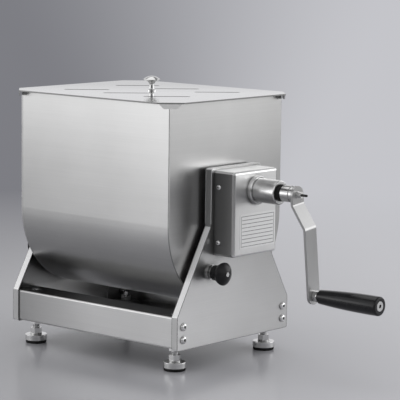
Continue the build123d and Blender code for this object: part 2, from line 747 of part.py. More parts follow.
# Gearbox bracket: a plate with two ears that carry the cover, screwed to the right side plate
bracket_low = cover_bottom_z + bracket_end_gap
bracket_high = cover_top_z - bracket_end_gap
bracket_middle_z = (bracket_low + bracket_high) / 2
bracket_height = bracket_high - bracket_low
cover_screw_zs = (cover_bottom_z + cover_screw_from_bottom, cover_top_z - cover_screw_from_top)
with BuildPart() as gearbox_bracket:
    with BuildSketch(outward(plate_outer, z=bracket_middle_z)):
        Rectangle(2 * bracket_half_width, bracket_height)
        with Locations((0, tank_axis_height - bracket_middle_z)):
            Circle(trunnion_diameter / 2 + running_gap + bush_wall, mode=Mode.SUBTRACT)
        with Locations((0, crank_z - bracket_middle_z)):
            Circle(crank_shaft_diameter / 2 + running_gap + bush_wall, mode=Mode.SUBTRACT)
        with GridLocations(2 * bracket_screw_y, 2 * bracket_screw_z, 2, 2):
            Circle(m5_diameter / 2 + screw_hole_allowance, mode=Mode.SUBTRACT)
    extrude(amount=bracket_thickness)
    for front in (-1, 1):
        with Locations((stand_x + plate_outer + bracket_ear / 2,
                        front * (bracket_half_width - bracket_thickness / 2), bracket_middle_z)):
            Box(bracket_ear, bracket_thickness, bracket_height)
    for z in cover_screw_zs:
        with BuildSketch(Plane(origin=(stand_x + cover_screw_x, -cover_width / 2, z), z_dir=(0, 1, 0))):
            Circle(m5_diameter / 2)
        extrude(amount=cover_width, mode=Mode.SUBTRACT)
gearbox_bracket.part.label = "gearbox_bracket"
export_step(gearbox_bracket.part, "parts/gearbox_bracket.step")

# Gearbox cover: a five-sided folded box with rounded edges
with BuildPart() as gearbox_cover:
    cover_height = cover_top_z - cover_bottom_z
    with BuildSketch(outward(plate_outer, z=(cover_top_z + cover_bottom_z) / 2)):
        RectangleRounded(cover_width, cover_height, cover_corner_radius)
    extrude(amount=cover_depth)
    fillet(gearbox_cover.faces().sort_by(Axis.X)[-1].edges(), cover_corner_radius)
    offset(amount=-cover_thickness, openings=gearbox_cover.faces().sort_by(Axis.X)[0])
    round_bar(outward(cover_face - cover_thickness, z=crank_z), bearing_spigot_diameter / 2,
              cover_thickness, mode=Mode.SUBTRACT)
    for z in cover_screw_zs:
        with BuildSketch(Plane(origin=(stand_x + cover_screw_x, -cover_width / 2, z), z_dir=(0, 1, 0))):
            Circle(m5_diameter / 2 + screw_hole_allowance)
        extrude(amount=cover_width, mode=Mode.SUBTRACT)
gearbox_cover.part.label = "gearbox_cover"
export_step(gearbox_cover.part, "parts/gearbox_cover.step")

with BuildPart() as gearbox_screws:
    for y in (-bracket_screw_y, bracket_screw_y):
        for lift in (-bracket_screw_z, bracket_screw_z):
            button_screw(outward(bracket_face, y, bracket_middle_z + lift), m5_diameter,
                         m5_head_diameter, m5_head_height, m5_length, m5_diameter / 2)
    for front in (-1, 1):
        for z in cover_screw_zs:
            head_plane = Plane(origin=(stand_x + cover_screw_x, front * cover_width / 2, z),
                               x_dir=(1, 0, 0), z_dir=(0, front, 0))
            button_screw(head_plane, m5_diameter, m5_head_diameter, m5_head_height,
                         cover_thickness + bracket_thickness, m5_diameter / 2)
gearbox_screws.part.label = "gearbox_screws"
export_step(gearbox_screws.part, "parts/gearbox_screws.step")

# Bearing tube: stands on the cover, held by a ring nut inside it
spigot_end = cover_face - cover_thickness - bearing_nut_thickness
collar_end = cover_face + bearing_collar_length
collar_radius = bearing_collar_diameter / 2
tube_radius = bearing_tube_diameter / 2
with BuildPart() as bearing_tube:
    with BuildSketch(lengthwise(0, crank_z)):
        with BuildLine():
            Polyline((spigot_end, bearing_tube_bore / 2), (spigot_end, bearing_spigot_diameter / 2),
                     (cover_face, bearing_spigot_diameter / 2), (cover_face, collar_radius),
                     (collar_end - bearing_tube_chamfer, collar_radius),
                     (collar_end, collar_radius - bearing_tube_chamfer), (collar_end, tube_radius),
                     (tube_end - bearing_tube_chamfer, tube_radius),
                     (tube_end, tube_radius - bearing_tube_chamfer), (tube_end, crank_seal_diameter / 2),
                     (tube_end - crank_seal_width, crank_seal_diameter / 2),
                     (tube_end - crank_seal_width, bearing_tube_bore / 2),
                     (spigot_end, bearing_tube_bore / 2))
        make_face()
    revolve(axis=shaft_axis(0, crank_z))
bearing_tube.part.label = "bearing_tube"
export_step(bearing_tube.part, "parts/bearing_tube.step")

with BuildPart() as bearing_ring_nut:
    hex_bar(outward(spigot_end, z=crank_z), bearing_nut_size, bearing_nut_thickness,
            bore=bearing_spigot_diameter / 2)
bearing_ring_nut.part.label = "bearing_ring_nut"
export_step(bearing_ring_nut.part, "parts/bearing_ring_nut.step")

crank_bore = crank_shaft_diameter / 2 + running_gap
with BuildPart() as crank_seal:
    round_bar(outward(tube_end - crank_seal_width, z=crank_z), crank_seal_diameter / 2,
              crank_seal_width + crank_seal_proud, bore=crank_bore)
crank_seal.part.label = "crank_seal"
export_step(crank_seal.part, "parts/crank_seal.step")

with BuildPart() as crank_bushes:
    round_bar(outward(spigot_end, z=crank_z), bearing_tube_bore / 2, crank_bush_length, bore=crank_bore)
    round_bar(outward(tube_end - crank_seal_width - crank_bush_length, z=crank_z),
              bearing_tube_bore / 2, crank_bush_length, bore=crank_bore)
    round_bar(outward(plate_inner, z=crank_z), crank_bore + bush_wall, bracket_face - plate_inner,
              bore=crank_bore)
    round_bar(outward(bracket_face, z=crank_z), crank_bore + bush_wall + ring_width,
              pinion_start - axial_gap - bracket_face, bore=crank_bore)
crank_bushes.part.label = "crank_bushes"
export_step(crank_bushes.part, "parts/crank_bushes.step")

# Crank shaft with its pinion and key; a shoulder keeps the pinion in place
with BuildPart() as crank_shaft:
    round_bar(outward(plate_inner, z=crank_z), crank_shaft_diameter / 2, hub_end - plate_inner)
    chamfer(crank_shaft.edges().group_by(Axis.X)[0], shaft_chamfer)
    with Locations((stand_x + pinion_start + pinion_width / 2, 0, crank_z + crank_shaft_diameter / 2)):
        Box(pinion_width, key_width, key_height, mode=Mode.SUBTRACT)
    round_bar(outward(pinion_start + pinion_width, z=crank_z), shoulder_diameter / 2,
              spigot_end - axial_gap - pinion_start - pinion_width)
    round_bar(outward(hub_end - hub_stud_length, z=crank_z), hub_stud_diameter / 2, hub_stud_length,
              mode=Mode.SUBTRACT)
crank_shaft.part.label = "crank_shaft"
export_step(crank_shaft.part, "parts/crank_shaft.step")

with BuildPart() as pinion_gear:
    extrude(outward(pinion_start, z=crank_z).location
            * gear_outline(pinion_teeth, 180 / pinion_teeth - 90), amount=pinion_width)
    round_bar(outward(pinion_start, z=crank_z), crank_shaft_diameter / 2, pinion_width,
              mode=Mode.SUBTRACT)
    with Locations((stand_x + pinion_start + pinion_width / 2, 0, crank_z + crank_shaft_diameter / 2)):
        Box(pinion_width, key_width, key_height, mode=Mode.SUBTRACT)
pinion_gear.part.label = "pinion_gear"
export_step(pinion_gear.part, "parts/pinion_gear.step")

with BuildPart() as pinion_key:
    with Locations((stand_x + pinion_start + pinion_width / 2, 0, crank_z + crank_shaft_diameter / 2)):
        Box(pinion_width, key_width, key_height)
pinion_key.part.label = "pinion_key"
export_step(pinion_key.part, "parts/pinion_key.step")

# Crank hub: a sleeve on the shaft with a groove near its outer end
with BuildPart() as crank_hub:
    round_bar(outward(hub_start, z=crank_z), hub_diameter / 2, hub_length, bore=crank_shaft_diameter / 2)
    chamfer(crank_hub.edges().group_by(Axis.X)[0].sort_by(SortBy.RADIUS)[-1], hub_chamfer)
    round_bar(outward(hub_end - hub_groove_from_end - hub_groove_width, z=crank_z), hub_diameter / 2,
              hub_groove_width, bore=hub_diameter / 2 - hub_groove_depth, mode=Mode.SUBTRACT)
crank_hub.part.label = "crank_hub"
export_step(crank_hub.part, "parts/crank_hub.step")

# Crank arm: flat bar with an outward joggle and round ends
arm_plane = outward(0, z=crank_z, turn=crank_rest_angle)
arm_side_view = Plane(arm_plane.origin, x_dir=(1, 0, 0), z_dir=-arm_plane.x_dir)
arm_middle = hub_end + arm_thickness / 2
with BuildPart() as crank_arm:
    with BuildLine(arm_side_view) as arm_line:
        FilletPolyline((arm_middle, arm_width / 2), (arm_middle, -arm_bend_start),
                       (arm_middle + arm_offset, -arm_bend_end),
                       (arm_middle + arm_offset, -arm_throw - arm_width / 2), radius=arm_bend_radius)
    with BuildSketch(Plane(arm_line.line @ 0, x_dir=arm_plane.x_dir, z_dir=arm_line.line % 0)):
        Rectangle(arm_width, arm_thickness)
    sweep()
    with BuildSketch(arm_plane.offset(hub_end - cut_margin)):
        with Locations((0, -arm_throw / 2)):
            SlotCenterToCenter(arm_throw, arm_width, rotation=90)
    extrude(amount=arm_offset + arm_thickness + 2 * cut_margin, mode=Mode.INTERSECT)
    with BuildSketch(arm_plane.offset(hub_end - cut_margin)):
        Circle(hub_stud_diameter / 2)
        with Locations((0, -arm_throw)):
            Circle(grip_bore_diameter / 2)
    extrude(amount=arm_offset + arm_thickness + 2 * cut_margin, mode=Mode.SUBTRACT)
crank_arm.part.label = "crank_arm"
export_step(crank_arm.part, "parts/crank_arm.step")

# Stud, washer and nut that hold the arm and hub on the shaft's end
with BuildPart() as hub_stud:
    round_bar(outward(hub_end - hub_stud_length, z=crank_z), hub_stud_diameter / 2,
              hub_stud_length + arm_thickness + hub_stud_proud)
    chamfer(hub_stud.edges().group_by(Axis.X)[-1], stud_chamfer)
hub_stud.part.label = "hub_stud"
export_step(hub_stud.part, "parts/hub_stud.step")

with BuildPart() as hub_washer:
    round_bar(outward(arm_face, z=crank_z), hub_washer_diameter / 2, hub_washer_thickness,
              bore=hub_stud_diameter / 2)
hub_washer.part.label = "hub_washer"
export_step(hub_washer.part, "parts/hub_washer.step")

with BuildPart() as hub_nut:
    hex_bar(outward(arm_face + hub_washer_thickness, z=crank_z), hub_nut_size, hub_nut_thickness,
            bore=hub_stud_diameter / 2)
hub_nut.part.label = "hub_nut"
export_step(hub_nut.part, "parts/hub_nut.step")

# Grip bolt: its socket head lies flush in the grip's end, its nut and washer clamp it to the arm
with BuildPart() as grip_bolt:
    round_bar(outward(arm_lower_face - arm_thickness, grip_y, grip_z), grip_bore_diameter / 2,
              grip_end - arm_lower_face + arm_thickness)
    round_bar(outward(grip_end - grip_bolt_head_length, grip_y, grip_z), grip_bolt_head_diameter / 2,
              grip_bolt_head_length)
    chamfer(grip_bolt.edges().group_by(Axis.X)[-1], grip_bolt_chamfer)
    hex_bar(outward(grip_end - grip_bolt_head_length / 2, grip_y, grip_z), grip_bolt_socket,
            grip_bolt_head_length, mode=Mode.SUBTRACT)
grip_bolt.part.label = "grip_bolt"
export_step(grip_bolt.part, "parts/grip_bolt.step")

with BuildPart() as grip_nut:
    hex_bar(outward(arm_lower_face, grip_y, grip_z), grip_nut_size, grip_nut_thickness,
            bore=grip_bore_diameter / 2)
    round_bar(outward(arm_lower_face + grip_nut_thickness, grip_y, grip_z), grip_washer_diameter / 2,
              grip_washer_thickness, bore=grip_bore_diameter / 2)
grip_nut.part.label = "grip_nut"
export_step(grip_nut.part, "parts/grip_nut.step")

# Grip: a turned handle that swells towards its end and revolves on the bolt
grip_bore = grip_bore_diameter / 2 + running_gap
head_bore = grip_bolt_head_diameter / 2 + seat_gap
with BuildPart() as grip:
    with BuildSketch(lengthwise(grip_y, grip_z)):
        with BuildLine():
            Polyline((grip_start, grip_bore), (grip_start, grip_root_diameter / 2 - grip_chamfer),
                     (grip_start + grip_chamfer, grip_root_diameter / 2))
            Spline((grip_start + grip_chamfer, grip_root_diameter / 2),
                   (grip_start + grip_length * grip_belly_share, grip_belly_diameter / 2),
                   (grip_end - grip_end_round, grip_end_diameter / 2))
            TangentArc((grip_end - grip_end_round, grip_end_diameter / 2),
                       (grip_end, grip_end_diameter / 2 - grip_end_round), tangent=(1, 0))
            Polyline((grip_end, grip_end_diameter / 2 - grip_end_round), (grip_end, head_bore),
                     (grip_end - grip_bolt_head_length - seat_gap, head_bore),
                     (grip_end - grip_bolt_head_length - seat_gap, grip_bore), (grip_start, grip_bore))
        make_face()
    revolve(axis=shaft_axis(grip_y, grip_z))
grip.part.label = "grip"
export_step(grip.part, "parts/grip.step")

# Index plungers: a sleeve through each side plate, and a pin with a mushroom knob, here drawn back
sleeve_end = plate_outer + lock_ring_thickness + sleeve_length
with BuildPart() as plunger_sleeves:
    for side, side_name in sides:
        bore = pin_diameter / 2 + running_gap
        round_bar(outward(barrel_end, index_y, index_z, side), barrel_diameter / 2,
                  plate_outer - barrel_end, bore=bore)
        round_bar(outward(plate_outer, index_y, index_z, side), sleeve_diameter / 2,
                  sleeve_end - plate_outer, bore=bore)
plunger_sleeves.part.label = "plunger_sleeves"
export_step(plunger_sleeves.part, "parts/plunger_sleeves.step")

with BuildPart() as plunger_lock_rings:
    for side, side_name in sides:
        round_bar(outward(plate_outer, index_y, index_z, side), lock_ring_diameter / 2,
                  lock_ring_thickness, bore=sleeve_diameter / 2)
        hex_bar(outward(plate_inner - plunger_nut_thickness, index_y, index_z, side), plunger_nut_size,
                plunger_nut_thickness, bore=barrel_diameter / 2)
plunger_lock_rings.part.label = "plunger_lock_rings"
export_step(plunger_lock_rings.part, "parts/plunger_lock_rings.step")

cavity_radius = sleeve_diameter / 2 + seat_gap
cavity_end = sleeve_end + pin_travel + seat_gap
rim_radius = mushroom_diameter / 2
tip_radius = pin_tip_diameter / 2
dome_centre = (rim_radius ** 2 - tip_radius ** 2 - mushroom_dome ** 2) / (2 * mushroom_dome)
for side, side_name in sides:
    with BuildPart() as index_pin:
        round_bar(outward(barrel_end, index_y, index_z, side), pin_diameter / 2, cavity_end - barrel_end)
        chamfer(index_pin.edges().sort_by(Axis.X, reverse=side < 0)[0], pin_chamfer)
        round_bar(outward(cavity_end, index_y, index_z, side), pin_tip_diameter / 2,
                  plunger_end - cavity_end)
    index_pin.part.label = f"index_pin_{side_name}"
    export_step(index_pin.part, f"parts/index_pin_{side_name}.step")

    with BuildPart() as plunger_knob:
        with BuildSketch(lengthwise(index_y, index_z, side)):
            with BuildLine():
                Polyline((cavity_end, tip_radius), (cavity_end, cavity_radius),
                         (skirt_start, cavity_radius), (skirt_start, skirt_diameter / 2),
                         (skirt_end, skirt_diameter / 2))
                TangentArc((mushroom_widest, rim_radius), (skirt_end, skirt_diameter / 2),
                           tangent=(-1, 0))
                RadiusArc((mushroom_widest, rim_radius), (plunger_end, tip_radius),
                          sqrt(rim_radius ** 2 + dome_centre ** 2))
                Line((plunger_end, tip_radius), (cavity_end, tip_radius))
            make_face()
        revolve(axis=shaft_axis(index_y, index_z))
    plunger_knob.part.label = f"plunger_knob_{side_name}"
    export_step(plunger_knob.part, f"parts/plunger_knob_{side_name}.step")

# Lid: a flat sheet with slanted slots, cut corners and a bent tab at each corner
lid_half_x = tank_end + lid_overhang
lid_half_y = tank_radius + lid_overhang
with BuildPart() as lid_plate:
    with BuildSketch(level(0, 0, lid_bottom_z)) as lid_outline:
        Rectangle(2 * lid_half_x, 2 * lid_half_y)
        chamfer(lid_outline.vertices(), lid_corner_leg)
        with GridLocations(slot_pitch_x, slot_pitch_y, slot_columns, slot_rows):
            SlotOverall(slot_length, slot_width, rotation=slot_angle, mode=Mode.SUBTRACT)
        Circle(knob_screw_diameter / 2 + screw_hole_allowance, mode=Mode.SUBTRACT)
    extrude(amount=lid_thickness)
    tab_top_width = lid_corner_leg / sin(radians(45)) - lid_tab_drop
    for across in (-1, 1):
        for front in (-1, 1):
            corner = (stand_x + across * (lid_half_x - lid_corner_leg / 2),
                      front * (lid_half_y - lid_corner_leg / 2), lid_bottom_z)
            with BuildSketch(Plane(corner, x_dir=(-front, across, 0), z_dir=(across, front, 0))):
                with BuildLine():
                    Polyline((-tab_top_width / 2, 0), (-lid_tab_end_width / 2, -lid_tab_drop),
                             (lid_tab_end_width / 2, -lid_tab_drop), (tab_top_width / 2, 0),
                             (-tab_top_width / 2, 0))
                make_face()
            extrude(amount=-lid_tab_thickness)
lid_plate.part.label = "lid_plate"
export_step(lid_plate.part, "parts/lid_plate.step")

with BuildPart() as lid_knob:
    head = knob_head_diameter / 2
    neck = knob_neck_diameter / 2
    dome_rise = knob_height - knob_rim_height - knob_rim_thickness
    dome_radius = (head ** 2 + dome_rise ** 2) / (2 * dome_rise)
    with BuildSketch(level(0, 0, lid_top_z) * Plane.XZ):
        with BuildLine():
            Polyline((0, 0), (knob_foot_diameter / 2, 0), (knob_foot_diameter / 2, knob_foot_height))
            TangentArc((neck, knob_neck_bottom), (knob_foot_diameter / 2, knob_foot_height),
                       tangent=(0, -1))
            Line((neck, knob_neck_bottom), (neck, knob_neck_top))
            Spline((neck, knob_neck_top), (head, knob_rim_height), tangents=((0, 1), (1, 0.4)))
            Line((head, knob_rim_height), (head, knob_height - dome_rise))
            RadiusArc((head, knob_height - dome_rise), (0, knob_height), -dome_radius)
            Line((0, knob_height), (0, 0))
        make_face()
    revolve(axis=Axis((stand_x, 0, 0), (0, 0, 1)))
    round_bar(level(0, 0, lid_top_z), knob_screw_diameter / 2, knob_neck_top, mode=Mode.SUBTRACT)
lid_knob.part.label = "lid_knob"
export_step(lid_knob.part, "parts/lid_knob.step")

with BuildPart() as lid_knob_screw:
    screw_plane = Plane((stand_x, 0, lid_bottom_z), x_dir=(1, 0, 0), z_dir=(0, 0, -1))
    button_screw(screw_plane, knob_screw_diameter, m5_head_diameter, m5_head_height,
                 lid_thickness + knob_neck_top, m5_diameter / 2)
lid_knob_screw.part.label = "lid_knob_screw"
export_step(lid_knob_screw.part, "parts/lid_knob_screw.step")
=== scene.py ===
"""Looks of a hand-cranked meat mixer: brushed sheet steel, turned steel, chrome, black plastic."""

import math

import bpy
from bpy.props import FloatProperty, FloatVectorProperty, IntProperty, PointerProperty
from mathutils import Matrix, Vector


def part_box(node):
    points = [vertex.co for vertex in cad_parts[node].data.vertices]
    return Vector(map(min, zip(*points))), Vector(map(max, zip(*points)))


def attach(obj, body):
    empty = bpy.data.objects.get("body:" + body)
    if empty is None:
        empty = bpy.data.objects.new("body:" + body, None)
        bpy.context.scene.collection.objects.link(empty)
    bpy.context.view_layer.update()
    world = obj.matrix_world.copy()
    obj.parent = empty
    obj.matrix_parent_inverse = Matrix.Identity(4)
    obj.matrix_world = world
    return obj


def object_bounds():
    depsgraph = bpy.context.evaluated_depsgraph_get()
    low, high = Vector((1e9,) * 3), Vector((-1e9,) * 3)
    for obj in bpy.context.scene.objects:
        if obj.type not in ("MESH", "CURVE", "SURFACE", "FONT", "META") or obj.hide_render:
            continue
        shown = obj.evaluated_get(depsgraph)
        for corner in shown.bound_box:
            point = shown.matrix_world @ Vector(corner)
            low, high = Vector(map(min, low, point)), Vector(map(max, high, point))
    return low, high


bl_info = {
    "name": "Meat mixer finish",
    "version": (1, 0, 0),
    "blender": (4, 5, 0),
    "location": "3D View > Sidebar > Mixer",
    "description": "Dresses a hand-cranked meat mixer and lights it in a plain studio",
    "category": "Object",
}

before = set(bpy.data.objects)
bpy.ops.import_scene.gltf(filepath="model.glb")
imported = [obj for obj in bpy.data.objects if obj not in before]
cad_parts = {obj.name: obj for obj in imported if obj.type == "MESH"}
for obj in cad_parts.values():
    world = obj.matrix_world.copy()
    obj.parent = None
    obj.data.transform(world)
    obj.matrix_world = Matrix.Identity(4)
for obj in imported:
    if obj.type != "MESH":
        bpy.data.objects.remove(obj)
CAD_LOW, CAD_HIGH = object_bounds()

# Places read from the fixed model, in metres
TANK_LOW, TANK_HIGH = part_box("tank_shell")
TANK_MIDDLE_X = (TANK_LOW.x + TANK_HIGH.x) / 2
TANK_RADIUS = TANK_HIGH.y
TANK_AXIS_Z = TANK_LOW.z + TANK_RADIUS
COVER_LOW, COVER_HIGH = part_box("gearbox_cover")
STUD_LOW, STUD_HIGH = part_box("hub_stud")
NUT_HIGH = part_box("hub_nut")[1]
LID_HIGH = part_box("lid_plate")[1]
FEET = ("front_left", "front_right", "rear_left", "rear_right")

MM = 0.001
FULL_TURN = 2 * math.pi
FOOT_HEX_TOP, FOOT_STUD_RADIUS = 27 * MM, 6 * MM


# Property groups


class SheetFinish(bpy.types.PropertyGroup):
    """Brushed stainless sheet of the tank, stand, lid and covers."""

    colour: FloatVectorProperty(
        name="Colour", description="Colour of the bare sheet", subtype="COLOR",
        default=(0.56, 0.56, 0.555))
    roughness: FloatProperty(
        name="Roughness", description="Mean roughness of the brushed face", default=0.31, min=0.05,
        max=1)
    grain_pitch: FloatProperty(
        name="Grain pitch", description="Width of one brushing line", default=0.8 * MM, unit="LENGTH")
    grain_length: FloatProperty(
        name="Grain length", description="Length of one brushing line", default=150 * MM, unit="LENGTH")
    grain_depth: FloatProperty(
        name="Grain depth", description="Depth of the brushing lines", default=0.002 * MM, unit="LENGTH")
    edge_radius: FloatProperty(
        name="Edge radius", description="Softened radius of cut edges", default=0.5 * MM, unit="LENGTH")


class TurnedFinish(bpy.types.PropertyGroup):
    """Turned and polished steel of the shafts, tube, crank, screws and feet."""

    colour: FloatVectorProperty(
        name="Colour", description="Colour of bare steel", subtype="COLOR", default=(0.62, 0.62, 0.615))
    ring_pitch: FloatProperty(
        name="Ring pitch", description="Spacing of the lathe rings", default=0.6 * MM, unit="LENGTH")
    turned_roughness: FloatProperty(
        name="Turned roughness", description="Roughness of turned faces", default=0.2, min=0.02, max=1)
    chrome_roughness: FloatProperty(
        name="Chrome roughness", description="Roughness of polished faces", default=0.1, min=0.02, max=1)


class DarkFinish(bpy.types.PropertyGroup):
    """Black plastic, rubber and pale bush plastic."""

    grip_colour: FloatVectorProperty(
        name="Grip colour", description="Colour of the moulded grip", subtype="COLOR",
        default=(0.008, 0.008, 0.009))
    grip_roughness: FloatProperty(
        name="Grip roughness", description="Roughness of the moulded grip", default=0.15, min=0.02,
        max=1)
    knob_roughness: FloatProperty(
        name="Knob roughness", description="Roughness of the plunger knobs", default=0.3, min=0.02,
        max=1)
    rubber_colour: FloatVectorProperty(
        name="Rubber colour", description="Colour of pads and seals", subtype="COLOR",
        default=(0.014, 0.014, 0.014))
    bush_colour: FloatVectorProperty(
        name="Bush colour", description="Colour of the plain bushes", subtype="COLOR",
        default=(0.70, 0.68, 0.60))


class LidFinish(bpy.types.PropertyGroup):
    """Polished lid with dull cut edges, darkened with painted shade."""

    tone: FloatProperty(
        name="Tone", description="Brightness of the lid beside the brushed sheet", default=1.25, min=0)
    roughness: FloatProperty(
        name="Roughness", description="Roughness of the polished face", default=0.11, min=0.02, max=1)
    # The edge tone paints shade on the cut edges and slot walls.
    edge_tone: FloatProperty(
        name="Edge tone", description="Brightness of cut edges beside the face", default=0.32, min=0)
    thickness: FloatProperty(
        name="Thickness", description="Thickness of the plate", default=2.5 * MM, unit="LENGTH")
    slots_inset: FloatProperty(
        name="Slots inset", description="Distance from the plate's edge to the field of slots",
        default=45 * MM, unit="LENGTH")


class ThreadSizes(bpy.types.PropertyGroup):
    """Screw threads on the hub stud and the levelling feet."""

    stud_pitch: FloatProperty(
        name="Stud pitch", description="Thread pitch of the hub stud", default=0.7 * MM, unit="LENGTH")
    stud_depth: FloatProperty(
        name="Stud depth", description="Thread depth of the hub stud", default=0.36 * MM, unit="LENGTH")
    foot_pitch: FloatProperty(
        name="Foot pitch", description="Thread pitch of the feet", default=1.75 * MM, unit="LENGTH")
    foot_depth: FloatProperty(
        name="Foot depth", description="Thread depth of the feet", default=0.55 * MM, unit="LENGTH")
    turn_points: IntProperty(
        name="Points per turn", description="Points along one turn of thread", default=24, min=8)


class WeldSizes(bpy.types.PropertyGroup):
    """Ground seam welds where the tank's wrapped sheet meets its end plates."""

    bead_radius: FloatProperty(
        name="Bead radius", description="Half width of the ground seam", default=0.55 * MM,
        unit="LENGTH")
    ripple: FloatProperty(
        name="Ripple", description="Share by which the bead swells and narrows", default=0.25, min=0,
        max=1)
    ripple_pitch: FloatProperty(
        name="Ripple pitch", description="Length of one ripple", default=2.5 * MM, unit="LENGTH")
    step: FloatProperty(
        name="Step", description="Spacing of points along the seam", default=1.2 * MM, unit="LENGTH")


class LabelSizes(bpy.types.PropertyGroup):
    """Blank rating plate on the gearbox cover."""

    width: FloatProperty(
        name="Width", description="Width of the plate", default=94 * MM, unit="LENGTH")
    height: FloatProperty(
        name="Height", description="Height of the plate", default=59 * MM, unit="LENGTH")
    thickness: FloatProperty(
        name="Thickness", description="Thickness of the plate", default=0.35 * MM, unit="LENGTH")
    corner: FloatProperty(
        name="Corner", description="Corner radius of the plate", default=2 * MM, unit="LENGTH")
    from_bottom: FloatProperty(
        name="From bottom", description="Height of the plate above the cover's lower edge",
        default=13 * MM, unit="LENGTH")
    off_centre: FloatProperty(
        name="Off centre", description="Shift of the plate towards the rear", default=5.4 * MM,
        unit="LENGTH")
    rule_pitch: FloatProperty(
        name="Rule pitch", description="Spacing of the plain printed rules", default=6.4 * MM,
        unit="LENGTH")
    rule_width: FloatProperty(
        name="Rule width", description="Width of a printed rule", default=0.9 * MM, unit="LENGTH")
    margin: FloatProperty(
        name="Margin", description="Distance from the plate's edge to the printed frame", default=4 * MM,
        unit="LENGTH")
    gap: FloatProperty(
        name="Gap", description="Distance from the printed frame to the rules", default=2 * MM,
        unit="LENGTH")
    colour: FloatVectorProperty(
        name="Colour", description="Colour of the plate", subtype="COLOR", default=(0.78, 0.78, 0.775))


class StudioSettings(bpy.types.PropertyGroup):
    """Camera, lamps, floor and surroundings."""

    azimuth: FloatProperty(
        name="Azimuth", description="Camera's bearing from the front, in degrees", default=40.59)
    elevation: FloatProperty(
        name="Elevation", description="Camera's height above the horizon, in degrees", default=7.85)
    roll: FloatProperty(name="Roll", description="Camera's roll in degrees", default=0.76)
    lens: FloatProperty(name="Lens", description="Focal length in millimetres", default=181.7)
    distance: FloatProperty(
        name="Distance", description="Camera's distance from its target", default=3.4027, unit="LENGTH")
    target: FloatVectorProperty(
        name="Target", description="Point in the middle of the view, from the tank's middle",
        default=(0.1704, -0.0649, 0.2849), subtype="TRANSLATION", unit="LENGTH")
    floor_colour: FloatVectorProperty(
        name="Floor colour", description="Colour of the floor", subtype="COLOR",
        default=(0.42, 0.42, 0.445))
    backdrop_colour: FloatVectorProperty(
        name="Backdrop colour", description="Colour of the far floor on the left", subtype="COLOR",
        default=(0.205, 0.207, 0.228))
    backdrop_light: FloatVectorProperty(
        name="Backdrop light", description="Colour of the far floor on the right", subtype="COLOR",
        default=(0.555, 0.558, 0.59))
    walls: FloatVectorProperty(
        name="Walls", description="Reflected brightness of the room left, right, before and behind",
        size=4,
        default=(1.25, 1.4, 0.05, 0.8))
    upper_walls: FloatVectorProperty(
        name="Upper walls",
        description="Reflected brightness of the walls' upper half, in the same order",
        size=4, default=(1.0, 1.1, 0.6, 0.8))
    ground: FloatVectorProperty(
        name="Ground",
        description="Reflected brightness of the far floor left, right, before and behind",
        size=4, default=(0.58, 0.15, 0.2, 0.1))
    ceiling: FloatProperty(
        name="Ceiling", description="Reflected brightness of the room overhead", default=0.3)
    room_light: FloatProperty(
        name="Room light", description="Strength of the even light on dull surfaces", default=0.65)
    floor_size: FloatProperty(
        name="Floor size", description="Half width of the floor", default=40, unit="LENGTH")


# Node graphs

# Noise values between which handling marks, and broader smudges, come up
MARKS, SMUDGES = (0.35, 0.65), (0.3, 0.7)
# Cosine between the softened and the true normal along a sharp edge, and how open a tight corner is
SHARP_EDGE, TIGHT_CORNER = (0.995, 0.9), (0.8, 0.35)
# Cosine past which a face counts as square to an axis
SQUARE_ON = 0.95
# Rays for softened edges and for corners
EDGE_SAMPLES = 6
# Share of blue in the room's light beside its red and green
ROOM_BLUE = 1.02


class Wire:
    """One output socket; arithmetic on it adds Math nodes to its tree."""

    def __init__(self, graph, socket):
        self.graph = graph
        self.socket = socket

    def _math(self, operation, first, second=0.0):
        return self.graph.node("ShaderNodeMath", {"operation": operation}, {0: first, 1: second})

    def __add__(self, other):
        return self._math("ADD", self, other)

    def __radd__(self, other):
        return self._math("ADD", other, self)

    def __sub__(self, other):
        return self._math("SUBTRACT", self, other)

    def __rsub__(self, other):
        return self._math("SUBTRACT", other, self)

    def __mul__(self, other):
        return self._math("MULTIPLY", self, other)

    def __rmul__(self, other):
        return self._math("MULTIPLY", other, self)

    def __truediv__(self, other):
        return self._math("DIVIDE", self, other)

    def __rtruediv__(self, other):
        return self._math("DIVIDE", other, self)

    def __abs__(self):
        return self._math("ABSOLUTE", self)

    def __lt__(self, other):
        return self._math("LESS_THAN", self, other)

    def __gt__(self, other):
        return self._math("GREATER_THAN", self, other)


